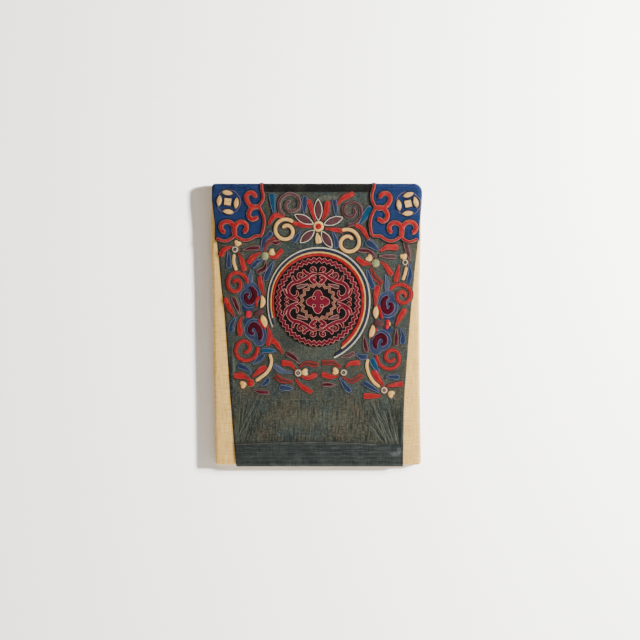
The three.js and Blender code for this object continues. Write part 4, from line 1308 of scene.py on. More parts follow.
def leaf_strips(tone):
    """The leaves of one tone. Each is wide at its tip, and its root is the end near a knot."""
    strips = []
    knots = np.array([FLOWER, *[knot[:2] for knot in KNOTS.values()], *TWISTS])
    for x0, z0, xm, zm, x1, z1, width in LEAVES[tone]:
        ends = np.array([(x0, z0), (xm, zm), (x1, z1)]) * CELL
        near = [np.hypot(*(knots - end).T).min() for end in (ends[0], ends[-1])]
        root, middle, tip = ends if near[0] < near[1] else ends[::-1]
        way = tip - root
        bend = way[0] * (middle - root)[1] - way[1] * (middle - root)[0]
        side = np.array([-way[1], way[0]]) * np.sign(bend)
        late = middle + (tip - middle) * 0.6 + side * 0.035
        line = smooth_line([root, middle, late, tip + side * 0.07])
        leaf = Strip(line, max(width, LEAST_WIDTH) * CELL - COUCHED, LEAF, "leaf")
        leaf.half *= 1 + 0.3 * ripple(leaf.run, root[0] * 9, 24, 9)
        strips.append(leaf)
    return strips


def core_strips(tone):
    """The narrow cores of all the leaves that have this tone inside."""
    strips = []
    for outside in [t for t, inside in LEAF_CORES.items() if inside == tone]:
        for leaf in leaf_strips(outside):
            first, last = [round(len(leaf.line) * share) for share in CORE_SPAN]
            width = leaf.half.max() * 2 * CORE_SHARE
            strips.append(Strip(leaf.line[first:last], width, LEAF_CORE, "flame"))
    return strips


def bud_reach(x, z):
    """How far a bud reaches in each direction of a dome. Its notch is turned away from its knot."""
    knots = np.array([knot[:2] for knot in KNOTS.values()])
    away = np.array((x, z)) - knots[np.argmin(np.hypot(*(knots - (x, z)).T))]
    from_notch = np.degrees(np.arccos(np.cos(DOME_TURN - math.atan2(away[1], away[0]))))
    return np.interp(from_notch, BUD_ANGLES, BUD_REACH)


def outer_reach(points, spread):
    """How far discs round some points reach out from the middle, in each direction of a dome."""
    ways = ring_points(1, DOME_TURN)
    along, off = points @ ways.T, points @ np.column_stack([-ways[:, 1], ways[:, 0]]).T
    inside = np.sqrt(np.maximum(spread**2 - off**2, 0))
    return np.where(np.abs(off) < spread, along + inside, 0).max(axis=0)


def trim_strips(side):
    """The scalloped border of a corner patch, its curls and their stems."""
    edges = TRIM_EDGES[side]
    joints = (edges[:CORNER_JOINT + 1], edges[CORNER_JOINT:])
    strips = [Strip(scallop_line(part), TRIM_WIDTH - COUCHED, ON_PATCH, "blunt") for part in joints]
    strips += [Strip(spiral_line(c), TRIM_CURL_WIDTH - COUCHED, ON_PATCH) for c in TRIM_CURLS[side]]
    for start, end, width in TRIM_STEMS[side]:
        strips.append(Strip(spaced(np.array([start, end], float), 3), width - COUCHED, ON_PATCH))
    return strips


def coin_strips(side):
    """The four lenses of a coin, and the square in its middle."""
    cuts = [(lens, COIN_LENS["length"], COIN_LENS["width"] - COUCHED / 2, "pointed")
            for lens in COINS[side]["lenses"]]
    cuts.append((COINS[side]["square"], COIN_SQUARE, COIN_SQUARE, "blunt"))
    strips = []
    for (x, z, turn), length, width, ends in cuts:
        line = np.array([turned(d, 0, turn) for d in (-length / 2, 0, length / 2)]) + (x, z)
        strips.append(Strip(line, width, ON_PATCH, ends))
    return strips


def ring_squeeze(angle):
    """How much narrower the ring is on its left."""
    return 1 - RING_SQUEEZE * np.clip((angle - 90) / 90, 0, 1)


def ring_strips():
    strips = {}
    for name, cord in RING_CORDS.items():
        strip = Strip(ring_line(cord), cord["width"], ON_GROUND)
        strip.half *= ring_squeeze(np.interp(strip.run, strip.run[[0, -1]], (cord["from"], cord["to"])))
        strips[name] = strip
    return strips


def ring_line(cord):
    """The middle line of one cord of the ring, which opens out towards its two ends."""
    angle = np.linspace(cord["from"], cord["to"], 181)
    right = np.clip(angle / RING["right_end"], 0, 1) ** 1.5 * RING["right_spread"]
    left = np.clip((angle - 180) / (RING["left_end"] - 180), 0, 1) ** 1.2 * RING["left_spread"]
    inward = (cord["outside"] + cord["width"] / 2) * ring_squeeze(angle)
    return ring_points(RING["radius"] + right + left - inward, np.radians(angle)) + RING["at"]


def cut_place(share, z):
    """The point of the cloth's cut at a height and a share of the way across it."""
    left, right = edge("left", z), edge("right", z)
    return left + share * (right - left), z


def edge(side, z):
    return np.interp(z, CUT_HEIGHTS, CUT[side])


def folds(x, z):
    """Height of the creases at a point, and the painted light and shade on their two flanks."""
    height = 0
    tone = 0
    for crease in CREASES:
        (x0, z0), (x1, z1) = crease["start"], crease["end"]
        dx, dz = x1 - x0, z1 - z0
        share = ((x - x0) * dx + (z - z0) * dz) / (dx * dx + dz * dz)
        away = ((x - x0) * dz - (z - z0) * dx) / math.hypot(dx, dz) / crease["width"]
        ridge = crease["height"] * np.sin(math.pi * np.clip(share, 0, 1)) * np.exp(-(away**2))
        height = height + ridge
        # Painted light on one flank of a crease and painted shade on the other
        tone = tone - ridge * away * FLANK_TONE
    return height, np.clip(tone, -1, 1)


def relief(x, z):
    """Height of the ground cloth's creases and ripples, and the painted light and shade of its folds."""
    height = sizes().ripple_height / MM * ripple(x, z, 70, 11)
    low = np.clip((-z - 150) / 60, 0, 1) * np.clip((z + 345) / 40, 0, 1)
    height = height + low * 0.35 * ripple(x * 4, z * 0.5, 40, 5)
    raised, tone = folds(x, z)
    return np.maximum(height + raised, -0.2), tone


def laid_sheet(name, place, rows, columns, layer, finish, slot, node, crinkled=False):
    """A sheet of cloth over the board. Place gives the flat cut for a share across and a row."""
    share, row = np.meshgrid(np.linspace(0, 1, columns + 1), rows)
    x, z = place(share, row)
    height, tone = relief(x, z) if crinkled else (0.15 * ripple(x, z, 40, 4), np.zeros_like(x))
    hem = 4.0 if crinkled else 2.0
    near = np.minimum(share, 1 - share) * np.ptp(x, axis=1)[:, None]
    thin = np.sqrt(np.clip(near / hem, 0.04, 1))
    inner, outer = layer
    lower = wrap(x, z, inner + np.maximum(height, 0))
    upper = wrap(x, z, inner + (outer - inner) * thin + height)
    sewing = Sewing()
    # The third mark carries the creases' painted light and shade
    sewing.slab(lower, upper, np.stack([x * MM, z * MM, tone], axis=-1))
    return sewing.piece(name, [finish], slot, [node])


def fold_rows(low, high, step):
    """Even rows, closer together where the cloth folds over the board's top or bottom."""
    rows = np.arange(low, high, step)
    rows = rows[np.abs(rows) < FOLD_START]
    foot = np.arange(CUT_FOOT, -FOLD_START, FOLD_STEP)
    ends = np.concatenate([foot, np.arange(FOLD_START, CUT_TOP + 0.1, FOLD_STEP)])
    return np.unique(np.concatenate([rows, ends[(ends >= low) & (ends <= high)], [low, high]]))


def upright(points, y):
    """Points of the flat outline, set at a depth."""
    x, z = np.moveaxis(points, -1, 0)
    return np.stack([x, np.broadcast_to(y, x.shape), z], axis=-1)


class PieceOperator(bpy.types.Operator):
    """A step that makes one piece, or a group of like pieces."""

    bl_options = {"REGISTER", "UNDO"}

    def execute(self, context):
        self.make()
        return {"FINISHED"}


class PANEL_OT_linen_board(PieceOperator):
    """Covers the board with linen, turned over and stapled on the back"""

    bl_idname = "embroidered_panel.linen_board"
    bl_label = "Linen board"

    # Millimetres: how deep the grey back board lies, the linen's hem round it, how far the
    # linen has run at its stations down a side, and how far in at those over the front
    RECESS = 1.2
    HEM = 1.5
    SIDE_RUNS = (8, 14, 19)
    FRONT_INSETS = (20, 60, 120, 200)
    MITRE = {"inset": 5, "short": 3, "long": 6, "under": -0.2, "over": 0.25}

    # Metres: the corner of the grey back board, and how far forward its faces can lie
    BACK_BOARD = (0.2, 0.295)
    TURNED = -0.01

    def outline(self, inset):
        """The board's outline drawn in by a distance, with the outward directions."""
        arcs = []
        for sx, sz, start in ((1, 1, 0), (-1, 1, 90), (-1, -1, 180), (1, -1, 270)):
            radius = CORNERS["bottom"] if sz < 0 else CORNERS["top_left" if sx < 0 else "top_right"]
            reach = max(radius - inset, 0.2)
            middle = inset + reach
            way = ring_points(1, np.radians(np.linspace(start, start + 90, 9)))
            side = board_side(sx, sz * HALF_HEIGHT)
            corner = (side - sx * middle, sz * (HALF_HEIGHT - middle))
            arcs.append((corner + way * reach, way))
        points = []
        outward = []
        for (arc, way), (after, _) in zip(arcs, [*arcs[1:], arcs[0]]):
            share = np.linspace(0, 1, 26)[1:-1, None]
            run = arc[-1] + (after[0] - arc[-1]) * share
            if abs(way[-1][0]) > 0.5:
                sx = round(way[-1][0])
                run[:, 0] = board_side(sx, run[:, 1]) - sx * inset
            points += [arc, run]
            outward += [way, np.broadcast_to(way[-1], run.shape)]
        return np.vstack(points), np.vstack(outward)

    def levels(self, border):
        """Inset, depth and run of the linen's stations, from the back's middle to the front's."""
        levels = [(inset, -self.RECESS, 0) for inset in (border * 3, border + self.HEM, border)]
        levels += [(border, -0.1, 0), (border - self.HEM, 0, 0), (BACK_ROUND, 0, 0)]
        levels += [(BACK_ROUND * 0.3, -BACK_ROUND * 0.3, 4), (0, -BACK_ROUND, 5)]
        levels += [(0, -run, run) for run in self.SIDE_RUNS]
        for bend in np.radians(np.linspace(0, 90, 7)):
            depth = FRONT_ROUND - DEPTH - FRONT_ROUND * math.sin(bend)
            levels.append((FRONT_ROUND * (1 - math.cos(bend)), depth, DEPTH - FRONT_ROUND))
        return levels + [(inset, -DEPTH, 0) for inset in self.FRONT_INSETS]

    def make(self):
        border = sizes().turn_over / MM
        rings = []
        marks = []
        for inset, y, run in self.levels(border):
            points, outward = self.outline(inset)
            wave = 0.12 * ripple(points[:, 0], points[:, 1] + y, 60, 8) if y < -8 else 0
            rings.append(upright(points, y + wave))
            flat = points + outward * (DEPTH + y if y < -0.5 else 0)
            marks.append(np.column_stack([flat, np.full(len(points), run)]))
        sewing = Sewing()
        sewing.tube(np.array(rings), np.array(marks) * MM)
        finishes = [linen_finish("linen"), plain_finish("back_board", colour_of("backboard"), 0.85)]
        cover = sewing.piece("linen_cover", finishes, "linen", ["linen_board"])
        for face in cover.data.polygons:
            x, y, z = face.center
            inside = abs(x) < self.BACK_BOARD[0] and abs(z) < self.BACK_BOARD[1]
            face.material_index = int(inside and y > self.TURNED)
        self.mitres(border)
        self.staples(border)

    def mitres(self, border):
        """The linen folded flat at each corner of the back."""
        sewing = Sewing()
        inset = self.MITRE["inset"]
        for sx, sz in QUARTERS:
            start = np.array([board_side(sx, sz * HALF_HEIGHT) - sx * inset, sz * (HALF_HEIGHT - inset)])
            end = start - np.array([sx, sz]) * (border - self.MITRE["short"])
            foot = start - np.array([0, sz]) * (border + self.MITRE["long"])
            line = np.array([start, (start + end) / 2, end])
            flap = np.array([foot + (line[0] - foot) * 0.12, foot + (line[1] - foot) * 0.1, foot])
            grid = np.stack([line, (line + flap) / 2, flap])
            marks = np.concatenate([grid, np.zeros((3, 3, 1))], axis=-1) * MM
            sewing.slab(upright(grid, self.MITRE["under"]), upright(grid, self.MITRE["over"]), marks)
        sewing.piece("linen_mitres", [linen_finish("linen")], "linen")

    def staples(self, border):
        """A row of staples along the middle of the turned linen."""
        line = upright(self.outline(border * 0.6)[0], 0.2)
        steel = plain_finish("staple_steel", tint("6f6f6d"), 0.4, metallic=0.7)
        grown(
            "back_staples", tree_named("stitch_row", stitch_recipe), [(line, True)],
            Spacing=sizes().staple_spacing, Length=0.012, Radius=0.0008, Seed=4, Material=steel,
        )


class PANEL_OT_ground_cloth(PieceOperator):
    """Lays the worn ground cloth over the board, with its fine pleats"""

    bl_idname = "embroidered_panel.ground_cloth"
    bl_label = "Ground cloth"

    def make(self):
        rows = fold_rows(CUT_FOOT, CUT_TOP, ROW_STEP)
        made = laid_sheet(
            "ground_sheet", cut_place, rows, 165, GROUND, ground_finish("worn_ground"),
            "indigo_ground", "ground_cloth", crinkled=True,
        )
        heights = np.array(CUT_HEIGHTS)
        wide = edge("right", heights) - edge("left", heights)
        self.pleats()

    def pleats(self):
        """Fine pleats that run down to the seam, painted dark and light by turns: painted shade for their
        hollows and painted light for their folds.
        """
        layer = (GROUND[1] - 0.3, GROUND[1] + 0.6)
        pleats = Sewing()
        pick = np.random.default_rng(21)
        for fan in PLEAT_FANS:
            for count, share in enumerate(pick.uniform(0, 1, fan["count"])):
                top = (np.interp(share, (0, 1), fan["top"]), pick.uniform(*fan["high"]))
                foot = np.interp(share * pick.uniform(0.6, 1), (0, 1), fan["foot"])
                foot = (foot, seam_height(foot) + 1)
                bend = (top[0] * 0.45 + foot[0] * 0.55, (top[1] + foot[1]) / 2)
                width = PLEAT_WIDTH * pick.uniform(0.6, 1.1)
                Strip(smooth_line([top, bend, foot]), width, layer, "pointed").sew(pleats, count % 2)
        # Painted shade for the pleats' hollows and painted light for their folds
        painted_pleat_shade = cotton_finish("pleat_hollow", tint("1a1f20"), tint("272c2a"))
        painted_fold_lighting = cotton_finish("pleat_fold", tint("474b43"), tint("5c6055"))
        pleats.piece("ground_pleats", [painted_pleat_shade, painted_fold_lighting], "indigo_ground")


class PANEL_OT_bands(PieceOperator):
    """Sews the bottom band and the black top band on"""

    bl_idname = "embroidered_panel.bands"
    bl_label = "Bands"

    def make(self):
        self.bottom()
        self.top()

    def bottom(self):
        def place(share, row):
            x, _ = cut_place(share, np.minimum(row, BOTTOM_SEAM["left"]))
            high = np.maximum(row - BAND_KNEE, 0) / (BOTTOM_SEAM["left"] - BAND_KNEE)
            return x, np.where(row > BAND_KNEE, BAND_KNEE + (seam_height(x) - BAND_KNEE) * high, row)

        foot = np.arange(CUT_FOOT, BAND_KNEE, FOLD_STEP)
        rows = np.concatenate([foot, np.linspace(BAND_KNEE, BOTTOM_SEAM["left"], 16)])
        finish = cotton_finish("band_cotton", colour_of("band"), tint("343a38"), 0.01)
        made = laid_sheet(
            "bottom_band_sheet", place, rows, 130, PATCH, finish, "indigo_ground", "bottom_band"
        )

    def top(self):
        lines = {s: scallop_line(TRIM_EDGES[s][:CORNER_JOINT + 1]) for s in ("left", "right")}

        def place(share, z):
            left = across_at(lines["left"], z) + TRIM_WIDTH / 2
            right = across_at(lines["right"], z) - TRIM_WIDTH / 2
            return left + share * (right - left), z

        rows = np.unique(np.concatenate([[TOP_BAND_EDGE], np.arange(334, CUT_TOP + 0.1, 1.5)]))
        finish = cotton_finish("black_cotton", colour_of("black"), tint("2a2a22"))
        made = laid_sheet("top_band_sheet", place, rows, 90, PATCH, finish, "black_cloth", "top_band")


def seam_height(x):
    """The seam of the bottom band: a little higher in the middle."""
    left, right = edge("left", BOTTOM_SEAM["left"]), edge("right", BOTTOM_SEAM["right"])
    share = np.clip((x - left) / (right - left), 0, 1)
    straight = BOTTOM_SEAM["left"] + (BOTTOM_SEAM["right"] - BOTTOM_SEAM["left"]) * share
    arch = BOTTOM_SEAM["middle"] - (BOTTOM_SEAM["left"] + BOTTOM_SEAM["right"]) / 2
    return straight + arch * np.sin(math.pi * share)


def across_at(line, z):
    order = np.argsort(line[:, 1])
    return np.interp(z, line[order, 1], line[order, 0])


class PANEL_OT_corner_patches(PieceOperator):
    """Lays the two blue corner patches"""

    bl_idname = "embroidered_panel.corner_patches"
    bl_label = "Corner patches"

    def make(self):
        finish = cotton_finish("patch_cotton", colour_of("blue_patch"), tint("1b2d50"), 0.004)
        rows = np.concatenate([np.linspace(0, 0.92, 14), fold_rows(PATCH_KNEE, CUT_TOP, 2.5)])
        for side, joints in TRIM_EDGES.items():
            flank = scallop_line(joints[:CORNER_JOINT + 1])
            foot = scallop_line(joints[CORNER_JOINT:])
            foot = foot[np.argsort(foot[:, 0])]

            def place(share, row):
                """Rows up to 1 are shares of the way from the scalloped foot to the knee."""
                low = row <= 1
                reach = TRIM_WIDTH / 2 * (1 if side == "left" else -1)
                inside = across_at(flank, np.where(low, FLANK_FOOT, row)) + reach
                outside = edge(side, np.where(low, PATCH_KNEE, row))
                left, right = (outside, inside) if side == "left" else (inside, outside)
                x = left + share * (right - left)
                bottom = np.interp(x, foot[:, 0], foot[:, 1]) - TRIM_WIDTH / 2
                return x, np.where(low, bottom + row * (PATCH_KNEE - bottom), row)

            made = laid_sheet(
                f"patch_{side}_sheet", place, rows, 55, PATCH, finish, "blue_cotton",
                f"corner_patch_{side}",
            )


class PANEL_OT_corner_trims(PieceOperator):
    """Sews the red trim and its curls round the corner patches"""

    bl_idname = "embroidered_panel.corner_trims"
    bl_label = "Corner trims"

    def make(self):
        for side in TRIM_EDGES:
            strip_piece(f"trim_{side}", trim_strips(side), "red", [f"corner_trim_{side}"])


class PANEL_OT_coins(PieceOperator):
    """Sews the cream coins on, with a ring of thread round each"""

    bl_idname = "embroidered_panel.coins"
    bl_label = "Coins"

    def make(self):
        for side in COINS:
            nodes = [f"coin_{side}_{place}" for place in ("top", "bottom", "outer", "inner", "square")]
            strip_piece(f"coin_{side}", coin_strips(side), "cream", nodes)
        rings = [circle_line(*coin["ring"], PATCH[1] + 0.2) for coin in COINS.values()]
        cords("coin_threads", rings, "grey", sizes().coin_thread_radius, "pale_cord")


class PANEL_OT_flower(PieceOperator):
    """Sews the star flower above the medallion"""

    bl_idname = "embroidered_panel.flower"
    bl_label = "Flower"

    def make(self):
        strip_piece("flower_petals", petal_strips(), "maroon", [f"petal_{name}" for name in PETALS])
        start, end, width = STUB
        stub = Strip(spaced(np.array([start, end], float), 2), width + 3, ON_GROUND, "leaf")
        strip_piece("flower_root", [stub], "cream", ["flower_stub"])
        inner, outer = ON_GROUND
        middle = Sewing()
        middle.dome(FLOWER, FLOWER_RING, (inner, outer - 0.3), 0)
        middle.dome(FLOWER, FLOWER_HEART, (inner + 0.8, outer + 0.9), 1)
        finishes = [cloth_finish("cream"), cloth_finish("red")]
        middle.piece("flower_middle", finishes, "cream_applique", ["flower_ring", "flower_heart"])


class PANEL_OT_spirals(PieceOperator):
    """Sews the eight spirals of folded strip"""

    bl_idname = "embroidered_panel.spirals"
    bl_label = "Spirals"

    def make(self):
        for name in SPIRALS:
            strip_piece(f"curl_{name}", [spiral_strip(name)], tone_of(name), [f"spiral_{name}"])


class PANEL_OT_hooks(PieceOperator):
    """Sews the velvet hooks over their blue halos"""

    bl_idname = "embroidered_panel.hooks"
    bl_label = "Velvet hooks"

    def make(self):
        hooks = smooth_strips(HOOKS, HOOK_WIDTH, OVER_HALO, "flame")
        strip_piece("velvet_hooks", hooks.values(), "velvet", [f"hook_{name}" for name in hooks])
        halos = Sewing()
        lines = [hook.outline(1.2, 0.35) for hook in hooks.values()]
        for spine in HOOKS.values():
            middle = (np.min(spine, axis=0) + np.max(spine, axis=0)) / 2
            reach = outer_reach(smooth_line(spine) - middle, HALO_REACH)
            halos.dome(middle, reach, HALO)
            lines.append((wrap(*(middle + ring_points(reach, DOME_TURN)).T, HALO[1]), True))
        halos.piece("hook_halos", [cloth_finish("halo")], "blue_cotton")
        cords("halo_cords", lines, "lilac", sizes().couching_radius * 0.9, "blue_cotton")


class PANEL_OT_crescents(PieceOperator):
    """Sews the cream crescents beside the ring, each with a red strip"""

    bl_idname = "embroidered_panel.crescents"
    bl_label = "Crescents"

    def make(self):
        nodes = [f"crescent_{name}" for name in CRESCENTS]
        strip_piece("cream_crescents", crescent_strips(), "cream", nodes)
        strips = [Strip(smooth_line(line), RED_STRIP_WIDTH, LEAF) for line in RED_STRIPS]
        strip_piece("crescent_strips", strips, "red")


class PANEL_OT_ring(PieceOperator):
    """Sews the four cords of the open ring"""

    bl_idname = "embroidered_panel.ring"
    bl_label = "Ring"

    def make(self):
        for name, strip in ring_strips().items():
            strip_piece(f"cord_{name}", [strip], name, [f"ring_{name}"])


def medallion_lift(x, z):
    """Height of the medallion's face above the board at a point, measured from its middle."""
    out = np.hypot(x / MEDALLION["half_width"], z / MEDALLION["half_height"])
    crown = MEDALLION["crown"] * (1 - np.clip(out, 0, 1) ** 2)
    return ON_GROUND[0] + MEDALLION["rise"] + crown


def on_medallion(points, closed, above=0.3):
    """Lays a line, drawn from the medallion's middle, on its face."""
    x, z = np.asarray(points, float).T
    at = MEDALLION["at"]
    return wrap(at[0] + x, at[1] + z, medallion_lift(x, z) + above), closed


def ring_points(radius, angle):
    return np.column_stack([radius * np.cos(angle), radius * np.sin(angle)])


def wavy_ring(share, waves, swing):
    """A ring that swings in and out, at a share of the medallion's size."""
    angle = full_turn(waves * 8)
    wave = np.arcsin(np.sin(waves * angle)) / (math.pi / 2)
    round_line = ring_points(share + swing * wave, angle)
    return on_medallion(round_line * (MEDALLION["half_width"], MEDALLION["half_height"]), True)


def heart_reach(turn):
    """How far the four lobes in the medallion's middle reach in a direction."""
    return HEART["edge"] + HEART["swing"] * np.cos(4 * turn)


def scroll_bed(x, z):
    """What the wide scrolls lie on."""
    at = MEDALLION["at"]
    return medallion_lift(x - at[0], z - at[1])


class PANEL_OT_medallion(PieceOperator):
    """Makes the black medallion and the cords that are couched on it"""

    bl_idname = "embroidered_panel.medallion"
    bl_label = "Medallion"

    # Shares of the medallion's size at which its face and its turned-down rim have points
    OUTS = (0.01, 0.2, 0.4, 0.6, 0.8, 0.94, 0.985, 1.0, 1.0, 0.985)
    EYE_TURNS = (45, 135, 225, 315)

    def make(self):
        finish = cotton_finish("medallion_cotton", *MEDALLION_TONES)
        self.ground(finish)
        self.heart(finish)
        scrolls = self.scrolls()
        for tone, strips in scrolls.items():
            strip_piece(f"medallion_{tone}_scrolls", strips, tone)
        lines = self.lines(scrolls)
        for tone, share in CORD_SHARES.items():
            radius = sizes().embroidery_radius * share
            cords(f"medallion_{tone}", lines[tone], tone, radius, SLOTS.get(tone, "pale_cord"))

    def ground(self, finish):
        half_width, half_height = MEDALLION["half_width"], MEDALLION["half_height"]
        outs = np.array(self.OUTS)[:, None]
        x = half_width * outs * np.cos(full_turn(128))
        z = half_height * outs * np.sin(full_turn(128))
        lift = medallion_lift(x, z) + 0.1 * ripple(x, z, 30, 6)
        lift[-3] -= 0.7
        lift[-2] = ON_GROUND[0] + 0.4
        lift[-1] = ON_GROUND[0]
        at = MEDALLION["at"]
        sewing = Sewing()
        sewing.tube(wrap(at[0] + x, at[1] + z, lift), np.stack([x, z, np.zeros_like(x)], axis=-1) * MM)
        made = sewing.piece("medallion_sheet", [finish], "black_cloth", ["medallion"])

    def scrolls(self):
        """The wide scrolls, the same in each quarter, raised over the black face."""
        strips = {"crimson": [], "mauve": []}
        at = MEDALLION["at"]
        for sx, sz in QUARTERS:
            for scroll in SCROLLS:
                line = smooth_line([(at[0] + sx * x, at[1] + sz * z) for x, z in scroll["line"]])
                strip = Strip(line, scroll["width"], SCROLL_LAYER, scroll["ends"], scroll_bed)
                strips[scroll["tone"]].append(strip)
        return strips

    def heart(self, finish):
        """A flower of four lobes in the middle, with a dark eye between each two."""
        lobes = Sewing()
        eyes = Sewing()
        x, z = MEDALLION["at"]
        face = float(medallion_lift(0, 0))
        lobes.dome((x, z), heart_reach(DOME_TURN), (face - 0.3, face + 1.1))
        for turn in self.EYE_TURNS:
            dx, dz = turned(HEART["eye_reach"], 0, turn)
            eyes.dome((x + dx, z + dz), HEART["eye"], (face, face + 1.5))
        lobes.piece("medallion_heart", [cloth_finish("crimson")], "red_applique")
        eyes.piece("medallion_eyes", [finish], "black_cloth")

    def lines(self, scrolls):
        """Every line that a cord of each tone is couched along."""
        lines = {tone: [wavy_ring(*row) for row in rows] for tone, rows in BORDERS.items()}
        for strip in [*scrolls["crimson"], *scrolls["mauve"]]:
            lines["pink"].append(strip.outline(0.3, 0.7))
        turn = full_turn(96)
        lines["pink"].append(on_medallion(ring_points(heart_reach(turn), turn), True))
        for quarter in self.EYE_TURNS:
            eye = ring_points(HEART["eye"] + 0.6, full_turn(16)) + turned(HEART["eye_reach"], 0, quarter)
            lines["pink"].append(on_medallion(eye, True, 1.2))
        for sx, sz in QUARTERS:
            for curl in MEDALLION_CURLS:
                for tone, share in (("pink", 1), ("crimson", 0.8)):
                    lines[tone].append(self.curl_line(curl, sx, sz, share))
        return lines

    def curl_line(self, curl, sx, sz, share):
        """A small scroll of one quarter, at a share of its size, that winds in to its middle."""
        x, z = curl["at"]
        start = math.radians(curl["start"])
        size = curl["size"] * share
        spiral = {
            "at": (sx * x, sz * z),
            "start": math.degrees(math.atan2(sz * math.sin(start), sx * math.cos(start))),
            "sweep": (1 if sx == sz else -1) * curl["sweep"] * share,
            "radii": (size, size * 0.72, size * 0.52, size * 0.3, size * 0.14),
        }
        return on_medallion(spaced(spiral_line(spiral), 1.6), False)


class PANEL_OT_knots(PieceOperator):
    """Sews the padded knots, and the lobes and buds round them"""

    bl_idname = "embroidered_panel.knots"
    bl_label = "Knots"

    def make(self):
        inner, _ = ON_GROUND
        groups = {}
        for name, knot in KNOTS.items():
            groups.setdefault(tone_of(name), {})[name] = knot
        for tone, members in groups.items():
            sewing = Sewing()
            for x, z, radius in members.values():
                sewing.dome((x, z), radius, (inner, inner + KNOT_HEIGHT))
            nodes = [f"button_{name}" for name in members]
            sewing.piece(f"knots_{tone}", [cloth_finish(tone)], SLOTS[tone], nodes)
        for tone, buds in BUDS.items():
            sewing = Sewing()
            layer = (HALO[0], HALO[1] + 0.2) if tone == "blue" else (inner, inner + 2.6)
            for x, z, wide, high, turn in np.array(buds, float) * (CELL, CELL, CELL, CELL, 1):
                sewing.dome((x, z), wide, layer, 0, high, turn)
            for x, z in np.array(HEARTS) * CELL if tone == "cream" else ():
                sewing.dome((x, z), bud_reach(x, z), (inner, inner + 2.4))
            sewing.piece(f"buds_{tone}", [cloth_finish(tone)], SLOTS[tone])


class PANEL_OT_stems(PieceOperator):
    """Sews the cream stems between the knots and the spirals"""

    bl_idname = "embroidered_panel.stems"
    bl_label = "Stems"

    def make(self):
        stems = smooth_strips(STEMS, STEM_WIDTH)
        strip_piece("cream_stems", stems.values(), "cream", [f"stem_{name}" for name in stems])


class PANEL_OT_leaves(PieceOperator):
    """Sews the small leaves"""

    bl_idname = "embroidered_panel.leaves"
    bl_label = "Leaves"

    def make(self):
        for tone in LEAVES:
            strip_piece(f"leaves_{tone}", leaf_strips(tone), tone)
        for tone in ("velvet", "maroon"):
            strip_piece(f"leaf_cores_{tone}", core_strips(tone), tone)


class PANEL_OT_couching(PieceOperator):
    """Couches a cord round every leaf, petal, spiral, crescent, trim and coin, and round the knots and
    heart buds; the dark cords it lays round the pieces and beside the ring's cords are painted shade
    """

    bl_idname = "embroidered_panel.couching"
    bl_label = "Couched edges"

    def make(self):
        lines = {"dark": [], "moss": []}
        for tone, strips in self.strips():
            for strip in strips:
                if tone in LEAVES:
                    lines["moss"].append(strip.outline(*MOSS_CORD))
                lines.setdefault(EDGINGS[tone], []).append(strip.outline(*EDGE_CORD))
                # A dark cord round each piece, painted shade where it meets the ground
                lines["dark"].append(strip.outline(*PAINTED_SHADE_CORD))
        # Dark cords beside the ring's cords, painted shade in the gaps between them
        lines["dark"] += [strip.outline(*RING_PAINTED_SHADE_CORD) for strip in ring_strips().values()]
        for name, knot in KNOTS.items():
            for tone, line in self.round_knot(tone_of(name), *knot):
                lines[tone].append(line)
        for x, z in np.array(HEARTS) * CELL:
            around = ring_points(bud_reach(x, z) + 0.3, DOME_TURN) + (x, z)
            lines["tan"].append((wrap(*around.T, ON_GROUND[0] + 0.5), True))
        for tone, loops in lines.items():
            radius = sizes().couching_radius * EDGING_SHARES.get(tone, 1)
            slot = "navy_cord" if tone in ("dark", "moss") else "pale_cord"
            cords(f"edging_{tone}", loops, tone, radius, slot, 5)

    def strips(self):
        """The tone and the strips of everything that has a couched edge."""
        for name in SPIRALS:
            yield tone_of(name), [spiral_strip(name)]
        for tone in LEAVES:
            yield tone, leaf_strips(tone)
        yield "petal", petal_strips()
        yield "cream", crescent_strips()
        for side in TRIM_EDGES:
            yield "trim", trim_strips(side)
            yield "coin", coin_strips(side)

    def round_knot(self, tone, x, z, radius):
        """The thread petals or rings on a knot, and the cord round it."""
        inner = ON_GROUND[0]
        if tone == "green":
            out = np.linspace(0.2, 0.85, 6)
            for turn in full_turn(5):
                petal = ring_points(radius * out, turn) + (x, z)
                yield "moss", (wrap(*petal.T, inner + KNOT_HEIGHT * np.sqrt(1 - out**2)), False)
        yield "tan", circle_line(x, z, radius + 0.4, inner + 0.4, 32)
        if tone in ("grey", "pale", "pink"):
            yield "white", circle_line(x, z, radius * 0.72, inner + 2.5, 32)
            yield "dark", circle_line(x, z, radius * 0.36, inner + KNOT_HEIGHT, 24)


